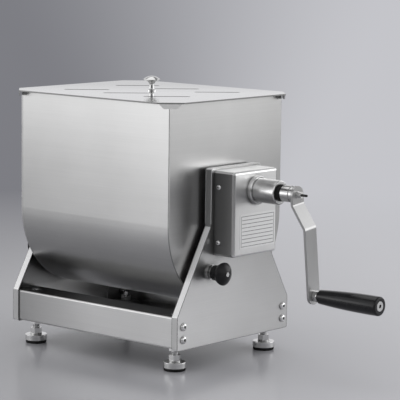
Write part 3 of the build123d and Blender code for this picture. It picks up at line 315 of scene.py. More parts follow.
class Graph:
    """A node tree that is filled one node at a time."""

    def __init__(self, tree):
        tree.nodes.clear()
        self.tree = tree

    def node(self, kind, settings=None, sockets=None, out=0):
        """Adds a node with its settings and sockets; returns one output, or the node itself for None."""
        made = self.tree.nodes.new(kind)
        for key, value in (settings or {}).items():
            setattr(made, key, value)
        for key, value in (sockets or {}).items():
            self.feed(made.inputs[key], value)
        return made if out is None else Wire(self, made.outputs[out])

    def feed(self, socket, value):
        if isinstance(value, Wire):
            self.tree.links.new(value.socket, socket)
        else:
            socket.default_value = value

    def parts(self, vector):
        """The three numbers of a vector."""
        split = self.node("ShaderNodeSeparateXYZ", None, {0: vector}, out=None)
        return [Wire(self, socket) for socket in split.outputs]

    def largest(self, first, second):
        return self.node("ShaderNodeMath", {"operation": "MAXIMUM"}, {0: first, 1: second})

    def dot(self, first, second):
        return self.node("ShaderNodeVectorMath", {"operation": "DOT_PRODUCT"},
                         {0: first, 1: second}, out="Value")

    def stretch(self, vector, scale):
        """A vector multiplied by a scale for each axis."""
        return self.node("ShaderNodeVectorMath", {"operation": "MULTIPLY"}, {0: vector, 1: scale})

    def ramp(self, value, low, high, curve="LINEAR"):
        """Maps low..high to 0..1 and clamps."""
        return self.node("ShaderNodeMapRange", {"interpolation_type": curve},
                         {"Value": value, "From Min": low, "From Max": high})

    def clamped(self, value):
        return self.node("ShaderNodeClamp", None, {"Value": value})

    def mix(self, factor, first, second, blend="MIX"):
        """Two colours mixed by a factor."""
        return self.node("ShaderNodeMix", {"data_type": "RGBA", "blend_type": blend},
                         {0: factor, 6: first, 7: second}, out=2)

    def tint(self, factor, dark, light):
        """A colour between two plain ones."""
        return self.mix(factor, (*dark, 1), (*light, 1))

    def over(self, factor, under, colour):
        """Lays a plain colour over a coloured socket where the factor is 1."""
        return self.mix(factor, under, (*colour, 1))

    def room_grey(self, tone):
        return self.node("ShaderNodeCombineColor", None, {0: tone, 1: tone, 2: tone * ROOM_BLUE})

    def ray(self, kind):
        """1 for one kind of ray and 0 for the others."""
        return self.node("ShaderNodeLightPath", out=f"Is {kind} Ray")


class Finish(Graph):
    """A material with one Principled shader."""

    def __init__(self, name, metallic, roughness, colour, **fixed):
        self.material = bpy.data.materials.new(name)
        self.material.use_nodes = True
        super().__init__(self.material.node_tree)
        self.lit = self.node("ShaderNodeBsdfPrincipled", out="BSDF")
        self.shader = self.lit.socket.node
        self.output = self.node("ShaderNodeOutputMaterial", None, {"Surface": self.lit}, out=None)
        self.set("Metallic", metallic)
        self.set("Roughness", roughness)
        self.set("Base Color", (*colour, 1))
        for key, value in fixed.items():
            self.set(key.replace("_", " ").title().replace("Ior", "IOR"), value)
        self.place = self.node("ShaderNodeTexCoord", out="Object")

    def set(self, socket, value):
        self.feed(self.shader.inputs[socket], value)

    def facing(self):
        """The three numbers of the way that the surface faces."""
        return self.parts(self.node("ShaderNodeTexCoord", out="Normal"))

    def stretched(self, scale):
        """Object coordinates multiplied by a scale for each axis."""
        return self.stretch(self.place, scale)

    def noise(self, vector, scale=1.0, detail=2.0, roughness=0.5):
        return self.node("ShaderNodeTexNoise", None,
                         {"Vector": vector, "Scale": scale, "Detail": detail, "Roughness": roughness})

    def relief(self, height, distance, strength=1.0, edge_radius=0.0):
        """Feeds a bump, on softened edges where a radius is given, to the shader's normal."""
        sockets = {"Height": height, "Distance": distance, "Strength": strength}
        if edge_radius:
            sockets["Normal"] = self.soft_edges(edge_radius)
        self.set("Normal", self.node("ShaderNodeBump", None, sockets))

    def soft_edges(self, radius):
        return self.node("ShaderNodeBevel", {"samples": EDGE_SAMPLES}, {"Radius": radius})

    def edge_wear_and_shade(self, radius):
        """About 1 along sharp edges and 0 on open faces."""
        along = self.dot(self.soft_edges(radius), self.node("ShaderNodeNewGeometry", out="Normal"))
        return self.ramp(along, *SHARP_EDGE)

    def occlusion_shade(self, reach):
        """About 1 in corners and gaps and 0 on open faces, from ambient occlusion; it masks painted
        shade.
        """
        openness = self.node("ShaderNodeAmbientOcclusion", {"samples": EDGE_SAMPLES},
                             {"Distance": reach}, out="AO")
        return self.ramp(openness, *TIGHT_CORNER)

    def faded(self, colour, place, start, end, share):
        """Tones a coloured socket down to a share of itself between two places, as painted shade."""
        return self.mix(1.0, colour, self.tint(self.ramp(place, start, end), (1, 1, 1), (share,) * 3),
                        "MULTIPLY")


def shade(colour, factor):
    return tuple(min(1.0, channel * factor) for channel in colour)


# Brushed sheet: lines in one soft band, how smooth rolled bends are, tone of the painted shade along
# edges and in corners and how thickly it lies in corners, and the colour and non-mirror share of the
# painted highlight on edges
BAND_LINES = 12
ROLLED_SMOOTH = 0.19
EDGE_SHADE, CORNER_SHADE, CORNER_SHADE_COVER = 0.12, 0.1, 0.8
EDGE_HIGHLIGHT, EDGE_HIGHLIGHT_PALENESS = (0.95, 0.95, 0.95), 0.9


def brushed_sheet(name, sheet, grain, tone=1.0, roughness=1.0, bends=0.0, sides=1.0, tops=1.0,
                  paleness=0.5, shade_reach=0.0, outline=0.0, fade=None, highlit_above=0.0):
    """Brushed sheet whose lines run along one axis: fine grain, soft bands, smudges and worn edges.

    Slanted flanges may carry a painted highlight, a brighter tone that is partly not mirror, faces
    towards Y or Z may have another tone, painted shade where it is darker and painted light where it
    is brighter, and bends beside a face towards X are rolled smooth. Painted shade may lie in corners,
    found by ambient occlusion, and along edges as a dark line that turns into a painted highlight
    above a given height. A fade of painted shade, given as an axis, two places on it and a share,
    tones the colour down towards the second place.
    """
    across, along = 1 / sheet.grain_pitch, 1 / sheet.grain_length
    scale = [along if axis == grain else across for axis in "xyz"]
    base = shade(sheet.colour, tone)
    rough = sheet.roughness * roughness
    finish = Finish(name, 1.0, rough, base)
    lines = finish.noise(finish.stretched(scale), roughness=0.6)
    bands = finish.noise(finish.stretched([value / BAND_LINES for value in scale]))
    smudges = finish.noise(finish.place, 9.0, 3, 0.55)
    wear = finish.edge_wear_and_shade(sheet.edge_radius)
    mottled = lines * 0.4 + bands * 0.15 + smudges * 0.45
    plain = finish.tint(finish.ramp(mottled, *SMUDGES), shade(base, 0.93), shade(base, 1.05))
    facing = finish.facing()
    # Faces towards Y or Z get another tone: painted shade where it is darker, painted light where it is
    # brighter.
    if sides != 1.0:
        plain = finish.over(abs(facing[1]) > SQUARE_ON, plain, shade(base, sides))
    if tops != 1.0:
        plain = finish.over(abs(facing[2]) > SQUARE_ON, plain, shade(base, tops))
    pale = 0.0
    # Slanted bends get a painted highlight: a brighter tone that is partly not mirror. Bends beside a
    # face towards X are only made smoother.
    if bends:
        square = finish.largest(abs(facing[0]), finish.largest(abs(facing[1]), abs(facing[2])))
        bent = finish.ramp(square, 0.985, 0.93)
        rolled = finish.ramp(abs(facing[0]), 0.05, 0.15)
        slanted = bent * (1 - rolled)
        pale = slanted * paleness
        plain = finish.over(slanted, plain, shade(base, bends))
        rough = rough - bent * rolled * ROLLED_SMOOTH
    # Painted shade: a slow fade of the colour towards one end.
    if fade:
        axis, start, end, share = fade
        plain = finish.faded(plain, finish.parts(finish.place)[axis], start, end, share)
    # Painted shade: a dark line along the edges, which above a given height becomes a painted highlight.
    if outline:
        edge = finish.edge_wear_and_shade(outline)
        rubbed_and_highlit = edge * (finish.parts(finish.place)[2] > highlit_above)
        plain = finish.over(edge, plain, shade(base, EDGE_SHADE))
        plain = finish.over(rubbed_and_highlit, plain, EDGE_HIGHLIGHT)
        pale = finish.largest(pale, rubbed_and_highlit * EDGE_HIGHLIGHT_PALENESS)
    # Painted shade in corners and gaps, found by ambient occlusion.
    if shade_reach:
        corner_shaded = finish.occlusion_shade(shade_reach) * CORNER_SHADE_COVER
        plain = finish.over(corner_shaded, plain, shade(base, CORNER_SHADE))
    finish.set("Metallic", 1 - pale)
    finish.set("Base Color", plain)
    spread = (lines - 0.5) * 0.05 + (smudges - 0.5) * 0.06 - wear * 0.01
    finish.set("Roughness", rough + spread)
    finish.relief(lines, sheet.grain_depth, 0.5, sheet.edge_radius)
    return finish.material


# Lid: places towards its rear left corner between which the colour is toned down as painted shade,
# and to what share; brightness of the painted light on the turned-down tabs, and the share of it
# that isn't mirror
LID_FADE, LID_FADE_SHARE = (-0.05, 0.2), 0.5
TAB_TONE, TAB_PALENESS = 1.35, 0.85


def polished_lid(name, sheet, lid):
    """Polished plate: dull cut edges and slot walls in painted shade, bent corners and tabs in painted
    light.
    """
    base = shade(sheet.colour, lid.tone)
    finish = Finish(name, 1.0, lid.roughness, base)
    facing = finish.facing()
    x, y, z = finish.parts(finish.place)
    upright = abs(facing[2]) < 0.5
    on_plate = z > LID_HIGH.z - lid.thickness - 0.1 * MM
    straight = finish.largest(abs(facing[0]), abs(facing[1])) > 0.9
    at_slots = abs(y) < LID_HIGH.y - lid.slots_inset
    cut = upright * on_plate * finish.largest(straight, at_slots)
    tab = upright * (1 - on_plate)
    wiped = finish.noise(finish.place, 14.0, 3, 0.55)
    lines = finish.noise(finish.stretched([1 / sheet.grain_length, 1 / sheet.grain_pitch, 1]),
                         roughness=0.6)
    plain = finish.tint(finish.ramp(wiped, *SMUDGES), shade(base, 0.96), shade(base, 1.03))
    # Painted shade: the colour is toned down towards the rear left corner.
    near, far = LID_FADE
    plain = finish.faded(plain, y - x, near - TANK_MIDDLE_X, far - TANK_MIDDLE_X, LID_FADE_SHARE)
    # Painted shade on the cut edges and slot walls; their higher roughness is their real dullness.
    edge_shaded = finish.over(cut, plain, shade(base, lid.edge_tone))
    # Painted light: the turned-down tabs get a brighter, less mirror-like tone.
    finish.set("Base Color", finish.over(tab, edge_shaded, shade(base, TAB_TONE)))
    finish.set("Metallic", 1 - tab * TAB_PALENESS)
    finish.set("Roughness", lid.roughness + (lines - 0.5) * 0.05 + (wiped - 0.5) * 0.04 + cut * 0.3)
    finish.relief(lines, 0.002 * MM, 0.4, sheet.edge_radius)
    return finish.material


def turned_steel(name, turned, roughness, tone=1.0, ring_depth=0.006 * MM, underside_shade=1.0,
                 shade_reach=0.0):
    """Turned steel with fine rings about the X axis and faint handling marks.

    Its underside may have another tone as painted shade, and painted shade may lie in its corners.
    """
    base = shade(turned.colour, tone)
    finish = Finish(name, 1.0, roughness, base)
    rings = finish.noise(finish.stretched([1 / turned.ring_pitch, 0, 0]), roughness=0.6)
    marks = finish.noise(finish.place, 60.0, 3, 0.6)
    plain = finish.tint(finish.ramp(marks, *MARKS), shade(base, 0.9), base)
    # Painted shade: faces that turn downwards get a darker tone.
    if underside_shade != 1.0:
        plain = finish.over(finish.ramp(finish.facing()[2], 0.2, -0.55), plain, shade(base, underside_shade))
    # Painted shade in corners and gaps, found by ambient occlusion.
    if shade_reach:
        plain = finish.over(finish.occlusion_shade(shade_reach), plain, shade(base, 0.08))
    finish.set("Base Color", plain)
    finish.set("Roughness", roughness + (rings - 0.5) * 0.12 + (marks - 0.5) * 0.08)
    finish.relief(rings, ring_depth, 0.5, 0.3 * MM)
    return finish.material


def chrome(name, turned, tone=1.0, shade_reach=0.0):
    """Bright polished metal with faint wipe marks; painted shade may lie in its corners."""
    base = shade(turned.colour, 1.12 * tone)
    finish = Finish(name, 1.0, turned.chrome_roughness, base)
    wiped = finish.noise(finish.place, 45.0, 4, 0.6)
    plain = finish.tint(finish.ramp(wiped, *MARKS), shade(base, 0.94), base)
    # Painted shade in corners and gaps, found by ambient occlusion.
    if shade_reach:
        plain = finish.over(finish.occlusion_shade(shade_reach), plain, shade(base, 0.04))
    finish.set("Base Color", plain)
    finish.set("Roughness", turned.chrome_roughness + finish.ramp(wiped, 0.5, 0.8) * 0.1)
    finish.relief(wiped, 0.01 * MM, 0.3, 0.35 * MM)
    return finish.material


def machined_steel(name, turned, tone=0.75):
    """Milled gear steel, darkened in patches by a film of grease."""
    base = shade(turned.colour, tone)
    finish = Finish(name, 1.0, 0.34, base)
    film = finish.noise(finish.place, 70.0, 3, 0.55)
    cut = finish.noise(finish.stretched([1400, 300, 300]), roughness=0.6)
    finish.set("Base Color", finish.tint(finish.ramp(film, *MARKS), shade(base, 0.72), base))
    finish.set("Roughness", 0.28 + film * 0.16)
    finish.relief(cut, 0.015 * MM, 0.5, 0.2 * MM)
    return finish.material


def moulded(name, colour, roughness, mark_scale=70.0, coat=0.0):
    """Moulded black plastic with a fine satin texture and faint rubbing marks."""
    finish = Finish(name, 0.0, roughness, colour, coat_weight=coat, coat_roughness=0.1, ior=1.34)
    skin = finish.noise(finish.place, 2600.0)
    rubbed_and_highlit = finish.noise(finish.place, mark_scale, 4, 0.6)
    finish.set("Base Color", finish.tint(finish.ramp(rubbed_and_highlit, 0.4, 0.75), colour, shade(colour, 1.7)))
    finish.set("Roughness", roughness + (rubbed_and_highlit - 0.5) * 0.16)
    finish.relief(skin, 0.02 * MM, 0.25, 0.4 * MM)
    return finish.material


def rubber(name, colour):
    """Matt rubber with a fine grain and a dusty bloom."""
    finish = Finish(name, 0.0, 0.75, colour, ior=1.2)
    grain = finish.noise(finish.place, 1800.0, 3, 0.6)
    bloom = finish.noise(finish.place, 120.0, 3, 0.6)
    finish.set("Base Color", finish.tint(finish.ramp(bloom, 0.45, 0.8), colour, shade(colour, 1.8)))
    finish.set("Roughness", 0.7 + bloom * 0.15)
    finish.relief(grain, 0.06 * MM, 0.4)
    return finish.material


def bush_plastic(name, colour):
    """Pale bearing plastic with faint turning rings."""
    finish = Finish(name, 0.0, 0.45, colour, ior=1.48)
    rings = finish.noise(finish.stretched([1500, 0, 0]))
    soil = finish.noise(finish.place, 80.0, 3, 0.6)
    finish.set("Base Color", finish.tint(finish.ramp(soil, 0.4, 0.8), colour, shade(colour, 0.82)))
    finish.set("Roughness", 0.4 + soil * 0.1)
    finish.relief(rings, 0.02 * MM, 0.4)
    return finish.material


def weld_steel(name, sheet):
    """Ground weld metal, polished bright on the left seam and left dull on the right one."""
    base = shade(sheet.colour, 0.4)
    finish = Finish(name, 1.0, 0.35, base)
    heat = finish.noise(finish.place, 160.0, 3, 0.6)
    left = finish.parts(finish.place)[0] < TANK_MIDDLE_X
    dull = finish.tint(finish.ramp(heat, *MARKS), shade(base, 0.7), base)
    finish.set("Base Color", finish.over(left, dull, shade(sheet.colour, 1.3)))
    finish.set("Roughness", 0.4 + heat * 0.1 - left * 0.15)
    finish.relief(heat, 0.05 * MM, 0.4)
    return finish.material


def dress(material, *nodes):
    """Gives fixed nodes one material in every slot."""
    for name in nodes:
        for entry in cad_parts[name].material_slots:
            entry.material = material


# Geometry helpers


def new_group(name, inputs):
    """A geometry tree with named inputs, given as names and kinds of socket, and one output."""
    tree = bpy.data.node_groups.new(name, "GeometryNodeTree")
    for socket_name, kind in inputs.items():
        tree.interface.new_socket(socket_name, in_out="INPUT", socket_type=f"NodeSocket{kind}")
    tree.interface.new_socket("Geometry", in_out="OUTPUT", socket_type="NodeSocketGeometry")
    graph = Graph(tree)
    entry = graph.node("NodeGroupInput", out=None)
    return graph, [Wire(graph, entry.outputs[socket_name]) for socket_name in inputs]


def finish_group(graph, geometry, material):
    """Ends a geometry tree in Realize Instances and Set Material."""
    solid = graph.node("GeometryNodeRealizeInstances", None, {0: geometry})
    coloured = graph.node("GeometryNodeSetMaterial", None, {"Geometry": solid, "Material": material})
    graph.node("NodeGroupOutput", None, {0: coloured}, out=None)
    return graph.tree


def grown(name, data, tree, values):
    """Runs a geometry tree on an object and returns its result as a plain mesh object."""
    source = bpy.data.objects.new(name + "_source", data)
    bpy.context.scene.collection.objects.link(source)
    modifier = source.modifiers.new("shape", "NODES")
    modifier.node_group = tree
    for item in tree.interface.items_tree:
        if item.in_out == "INPUT" and item.name in values:
            modifier[item.identifier] = values[item.name]
    bpy.context.view_layer.update()
    evaluated = source.evaluated_get(bpy.context.evaluated_depsgraph_get())
    mesh = bpy.data.meshes.new_from_object(evaluated)
    bpy.data.objects.remove(source)
    return link_mesh(name, mesh)


def link_mesh(name, mesh):
    mesh.name = name
    made = bpy.data.objects.new(name, mesh)
    bpy.context.scene.collection.objects.link(made)
    return made


def thread_group(material):
    """A screw thread: a four-sided rib along a helix about +Z."""
    graph, (radius, pitch, length, depth, points) = new_group("screw_thread", {
        "Radius": "Float", "Pitch": "Float", "Length": "Float", "Depth": "Float", "Turn Points": "Int"})
    helix = graph.node("GeometryNodeCurveSpiral", None, {
        "Resolution": points, "Rotations": length / pitch, "Start Radius": radius, "End Radius": radius,
        "Height": length})
    rib = graph.node("GeometryNodeCurvePrimitiveCircle", {"mode": "RADIUS"},
                     {"Resolution": 4, "Radius": depth})
    swept = graph.node("GeometryNodeCurveToMesh", None,
                       {"Curve": helix, "Profile Curve": rib, "Fill Caps": True})
    return finish_group(graph, swept, material)


def thread(name, tree, start, turn, radius, pitch, length, depth, points):
    """A thread that starts at a place and runs along the turned +Z axis."""
    made = grown(name, bpy.data.meshes.new(name), tree, {
        "Radius": radius, "Pitch": pitch, "Length": length, "Depth": depth, "Turn Points": points})
    made.data.transform(Matrix.Translation(start) @ turn)
    return made


def seam_curve(name, ends):
    """The tank's section outline at each of several x places, as open splines."""
    data = bpy.data.curves.new(name, "CURVE")
    data.dimensions = "3D"
    steps = 48
    rim = TANK_HIGH.z
    for x in ends:
        arc = []
        for step in range(steps + 1):
            angle = math.pi * step / steps
            arc.append((x, -TANK_RADIUS * math.cos(angle), TANK_AXIS_Z - TANK_RADIUS * math.sin(angle)))
        route = [(x, -TANK_RADIUS, rim), *arc, (x, TANK_RADIUS, rim)]
        spline = data.splines.new("POLY")
        spline.points.add(len(route) - 1)
        for point, place in zip(spline.points, route):
            point.co = (*place, 1)
    return data


def weld_group(material):
    """A seam bead along a curve, with ripples of its radius."""
    graph, (curve, radius, pitch, step, ripple) = new_group("seam_weld", {
        "Geometry": "Geometry", "Bead Radius": "Float", "Ripple Pitch": "Float", "Step": "Float",
        "Ripple": "Float"})
    fine = graph.node("GeometryNodeResampleCurve", {"mode": "LENGTH"}, {"Curve": curve, "Length": step})
    along = graph.node("GeometryNodeSplineParameter", out="Length")
    wave = graph.node("ShaderNodeMath", {"operation": "SINE"}, {0: along * FULL_TURN / pitch})
    swelled = graph.node("GeometryNodeSetCurveRadius", None,
                         {"Curve": fine, "Radius": radius * (1 + wave * ripple)})
    bead = graph.node("GeometryNodeCurvePrimitiveCircle", {"mode": "RADIUS"},
                      {"Resolution": 8, "Radius": 1.0})
    swept = graph.node("GeometryNodeCurveToMesh", None, {
        "Curve": swelled, "Profile Curve": bead, "Scale": graph.node("GeometryNodeInputRadius"),
        "Fill Caps": True})
    return finish_group(graph, swept, material)


def plate_mesh(name, label, centre, turns=6):
    """A thin plate with round corners that stands on a face whose normal is +X."""
    width, height, thickness, corner = label.width, label.height, label.thickness, label.corner
    outline = []
    for quarter in range(4):
        middle_y = (width / 2 - corner) * (1 if quarter in (0, 3) else -1)
        middle_z = (height / 2 - corner) * (1 if quarter in (0, 1) else -1)
        for step in range(turns + 1):
            angle = math.pi / 2 * (quarter + step / turns)
            outline.append((middle_y + corner * math.cos(angle), middle_z + corner * math.sin(angle)))
    edge = thickness / 2
    levels = ((0, 0), (thickness - edge, 0), (thickness, edge))
    verts = []
    for lift, inset in levels:
        for y, z in outline:
            shrink_y = 1 - inset / (width / 2)
            shrink_z = 1 - inset / (height / 2)
            verts.append((centre.x + lift, centre.y + y * shrink_y, centre.z + z * shrink_z))
    count = len(outline)
    faces = [tuple(reversed(range(count))), tuple(range(2 * count, 3 * count))]
    for ring in range(len(levels) - 1):
        for step in range(count):
            after = (step + 1) % count
            low, high = ring * count, (ring + 1) * count
            faces.append((low + step, low + after, high + after, high + step))
    mesh = bpy.data.meshes.new(name)
    mesh.from_pydata(verts, [], faces)
    mesh.update()
    return mesh


def label_finish(label, centre):
    """Pale plate with a thin printed frame and plain rules, blank of any words."""
    finish = Finish("label_print", 0.85, 0.4, label.colour)
    local = finish.node("ShaderNodeVectorMath", {"operation": "SUBTRACT"}, {0: finish.place, 1: centre})
    y, z = finish.parts(local)[1:]
    half_rule = label.rule_width / 2
    beyond_y = abs(y) - (label.width / 2 - label.margin)
    beyond_z = abs(z) - (label.height / 2 - label.margin)
    beyond = finish.largest(beyond_y, beyond_z)
    border = abs(beyond) < half_rule
    wave = finish.node("ShaderNodeMath", {"operation": "PINGPONG"}, {0: z, 1: label.rule_pitch / 2})
    rules = (wave < half_rule) * (beyond < -label.gap)
    wear = finish.noise(finish.place, 400.0, 3, 0.6)
    inked = finish.clamped(border + rules) * finish.ramp(wear, 0.25, 0.45)
    finish.set("Base Color", finish.tint(inked, label.colour, shade(label.colour, 0.08)))
    finish.set("Roughness", 0.38 + wear * 0.1)
    finish.relief(wear, 0.01 * MM, 0.3)
    return finish.material


# Operators

# Brightness of the dark hub stud beside the other steel
STUD_TONE = 0.12


class MIXER_OT_sheet(bpy.types.Operator):
    """Brushed sheet on the tank, stand, lid, covers and bracket"""

    bl_idname = "mixer.sheet"
    bl_label = "Sheet steel"

    def execute(self, context):
        # Where a part's tone differs from 1, the one sheet colour is made brighter or darker to that
        # part's brightness in the light: painted light and painted shade.
        sheet = context.scene.mixer_sheet
        # The fades are painted shade.
        left_fade = (0, TANK_HIGH.x, TANK_LOW.x, 0.82)
        dress(brushed_sheet("tank_wrap_brushed", sheet, "x", 1.11, fade=left_fade), "tank_shell")
        end_fade = (1, 0, TANK_RADIUS, 0.86)
        dress(brushed_sheet("end_plate_brushed", sheet, "y", 0.97, fade=end_fade),
              "tank_end_left", "tank_end_right")
        rear_fade = (1, -TANK_RADIUS, TANK_RADIUS, 0.72)
        dress(brushed_sheet("side_plate_brushed", sheet, "y", 1.17, bends=1.75, sides=0.87,
                            paleness=0.85, shade_reach=22 * MM, outline=2.4 * MM, fade=rear_fade,
                            highlit_above=TANK_AXIS_Z),
              "left_side_plate", "right_side_plate")
        rail_fade = (0, TANK_MIDDLE_X, TANK_LOW.x, 0.6)
        dress(brushed_sheet("rail_brushed", sheet, "x", 1.22, 1.05, bends=1.25, tops=0.42,
                            fade=rail_fade), "front_rail", "rear_rail")
        dress(polished_lid("lid_polished", sheet, context.scene.mixer_lid), "lid_plate")
        dress(brushed_sheet("cover_brushed", sheet, "z", 1.3, 1.1, bends=1.2, sides=0.32, tops=1.3,
                            paleness=0.2, shade_reach=11 * MM), "gearbox_cover")
        dress(brushed_sheet("cap_brushed", sheet, "z"), "shaft_end_cap")
        dress(brushed_sheet("bracket_brushed", sheet, "y", 0.9), "gearbox_bracket")
        return {"FINISHED"}


class MIXER_OT_drive(bpy.types.Operator):
    """Turned shafts, gears, paddles, bushes and seals"""

    bl_idname = "mixer.drive"
    bl_label = "Shaft, gears and paddles"

    def execute(self, context):
        turned, dark = context.scene.mixer_turned, context.scene.mixer_dark
        sheet = context.scene.mixer_sheet
        shaft = turned_steel("shaft_turned", turned, turned.turned_roughness)
        dress(shaft, "mixing_shaft", "crank_shaft", "trunnions", "wheel_key", "pinion_key", "wheel_ring")
        dress(brushed_sheet("paddle_brushed", sheet, "x", 0.95), *[f"paddle_{n}" for n in range(1, 5)])
        dress(machined_steel("gear_machined", turned), "wheel_gear", "pinion_gear")
        # The tube's bright tone is painted light, and its darker underside painted shade.
        tube = turned_steel("tube_turned", turned, turned.turned_roughness * 1.15, 1.6,
                            ring_depth=0.02 * MM, underside_shade=0.3, shade_reach=5 * MM)
        dress(tube, "bearing_tube", "bearing_ring_nut")
        dress(bush_plastic("bush_plain", dark.bush_colour),
              "trunnion_bushes", "shaft_bushes", "crank_bushes")
        dress(rubber("seal_rubber", dark.rubber_colour), "crank_seal", "shaft_seals")
        return {"FINISHED"}


class MIXER_OT_crank(bpy.types.Operator):
    """Crank arm, hub, grip and their fixings"""

    bl_idname = "mixer.crank"
    bl_label = "Crank and grip"

    def execute(self, context):
        turned, dark = context.scene.mixer_turned, context.scene.mixer_dark
        sheet = context.scene.mixer_sheet
        # The arm's and the washer's tones are darker and brighter copies of their steel: painted shade
        # and painted light.
        dress(brushed_sheet("arm_brushed", sheet, "z", 0.82), "crank_arm")
        dress(turned_steel("hub_turned", turned, turned.chrome_roughness * 1.5, 1.05), "crank_hub")
        dress(chrome("fixing_bright", turned, 0.85, shade_reach=3 * MM), "grip_nut", "grip_bolt")
        dress(turned_steel("washer_bright", turned, 0.32, 1.4, shade_reach=1.5 * MM),
              "hub_washer", "hub_nut")
        dress(machined_steel("stud_dark", turned, STUD_TONE), "hub_stud")
        dress(moulded("grip_moulded", dark.grip_colour, dark.grip_roughness, 60.0, coat=0.12), "grip")
        return {"FINISHED"}


class MIXER_OT_knobs(bpy.types.Operator):
    """Index plungers and the lid's knob"""

    bl_idname = "mixer.knobs"
    bl_label = "Plungers and lid knob"

    def execute(self, context):
        turned, dark = context.scene.mixer_turned, context.scene.mixer_dark
        dress(chrome("lid_knob_chrome", turned), "lid_knob", "lid_knob_screw")
        knob = moulded("plunger_moulded", dark.grip_colour, dark.knob_roughness, 90.0)
        dress(knob, "plunger_knob_left", "plunger_knob_right")
        pin = turned_steel("pin_turned", turned, turned.turned_roughness)
        dress(pin, "index_pin_left", "index_pin_right", "plunger_lock_rings")
        dress(turned_steel("sleeve_dark", turned, turned.turned_roughness, 0.5, shade_reach=4 * MM),
              "plunger_sleeves")
        return {"FINISHED"}


class MIXER_OT_screws(bpy.types.Operator):
    """Button screws, nuts and set screws"""

    bl_idname = "mixer.screws"
    bl_label = "Screws and nuts"

    def execute(self, context):
        turned = context.scene.mixer_turned
        dress(chrome("screw_bright", turned, 1.2, shade_reach=4 * MM),
              "rail_screws", "rail_screw_nuts", "foot_nuts", "cap_screws", "gearbox_screws",
              "paddle_set_screws")
        return {"FINISHED"}


class MIXER_OT_feet(bpy.types.Operator):
    """Levelling feet and their rubber pads"""

    bl_idname = "mixer.feet"
    bl_label = "Levelling feet"

    def execute(self, context):
        turned, dark = context.scene.mixer_turned, context.scene.mixer_dark
        dress(chrome("foot_chrome", turned, 0.95, shade_reach=5 * MM),
              *[f"levelling_foot_{foot}" for foot in FEET])
        dress(rubber("pad_rubber", dark.rubber_colour), *[f"foot_pad_{foot}" for foot in FEET])
        return {"FINISHED"}


class MIXER_OT_threads(bpy.types.Operator):
    """Cut threads on the hub stud and on the levelling feet"""

    bl_idname = "mixer.threads"
    bl_label = "Threads"

    def execute(self, context):
        sizes, turned = context.scene.mixer_threads, context.scene.mixer_turned
        tree = thread_group(machined_steel("thread_dark", turned, STUD_TONE))
        along_x = Matrix.Rotation(math.pi / 2, 4, "Y")
        middle = (STUD_LOW + STUD_HIGH) / 2
        start = Vector((NUT_HIGH.x, middle.y, middle.z))
        radius = (STUD_HIGH.z - STUD_LOW.z) / 2 - sizes.stud_depth / 2
        hub = thread("hub_stud_thread", tree, start, along_x, radius, sizes.stud_pitch,
                     STUD_HIGH.x - start.x - sizes.stud_pitch, sizes.stud_depth, sizes.turn_points)
        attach(hub, "crank")
        bright = thread_group(chrome("thread_bright", turned, 0.85))
        for foot in FEET:
            low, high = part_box(f"levelling_foot_{foot}")
            centre = (low + high) / 2
            start = Vector((centre.x, centre.y, FOOT_HEX_TOP))
            made = thread(f"foot_thread_{foot}", bright, start, Matrix.Identity(4),
                          FOOT_STUD_RADIUS - sizes.foot_depth / 2, sizes.foot_pitch,
                          high.z - FOOT_HEX_TOP - sizes.foot_pitch, sizes.foot_depth, sizes.turn_points)
            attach(made, f"foot_{foot}")
        return {"FINISHED"}


class MIXER_OT_welds(bpy.types.Operator):
    """Ground seam welds round both ends of the tank"""

    bl_idname = "mixer.welds"
    bl_label = "Seam welds"

    def execute(self, context):
        sizes = context.scene.mixer_welds
        tree = weld_group(weld_steel("weld_ground", context.scene.mixer_sheet))
        data = seam_curve("tank_seams", (TANK_LOW.x, TANK_HIGH.x))
        made = grown("tank_seam_welds", data, tree, {
            "Bead Radius": sizes.bead_radius, "Ripple Pitch": sizes.ripple_pitch,
            "Ripple": sizes.ripple, "Step": sizes.step})
        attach(made, "tank")
        return {"FINISHED"}


class MIXER_OT_label(bpy.types.Operator):
    """Blank rating plate on the gearbox cover"""

    bl_idname = "mixer.label"
    bl_label = "Blank plate"

    def execute(self, context):
        sizes = context.scene.mixer_label
        centre = Vector((COVER_HIGH.x, (COVER_LOW.y + COVER_HIGH.y) / 2 + sizes.off_centre,
                         COVER_LOW.z + sizes.from_bottom + sizes.height / 2))
        mesh = plate_mesh("blank_plate", sizes, centre)
        made = link_mesh("blank_plate", mesh)
        mesh.materials.append(label_finish(sizes, centre))
        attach(made, "stand")
        return {"FINISHED"}


class MIXER_OT_stage(bpy.types.Operator):
    """Floor, soft lamps, pale surroundings and the camera"""

    bl_idname = "mixer.stage"
    bl_label = "Studio"

    def execute(self, context):
        studio = context.scene.mixer_studio
        set_camera(context.scene, studio)
        set_world(context.scene, studio)
        set_floor(studio)
        set_lamps()
        context.scene.view_settings.view_transform = "Standard"
        return {"FINISHED"}


# Places to the right of the picture's middle, as cosines, between which the backdrop brightens
BACKDROP_TURN = (-0.13, 0.12)
# Sines of height at which the ceiling gives way to the walls, and the walls to their upper half
CEILING_EDGE, UPPER_WALLS_EDGE = (0.8, 0.45), (0.08, 0.3)
# Floor: roughness and refraction, places to the right between which its colour brightens as painted
# light and by which shares, and distances between which it gives way to the backdrop
FLOOR_ROUGHNESS, FLOOR_IOR = 0.24, 1.2
FLOOR_TURN, FLOOR_SHARES = (-0.45, 0.4), (0.84, 1.35)
FLOOR_EDGE = (0.7, 2.2)


def rightwards(studio, turn=0.0):
    """The level direction towards the right of the camera's picture, or turned from it."""
    angle = math.radians(studio.azimuth) + turn
    return math.cos(angle), math.sin(angle), 0


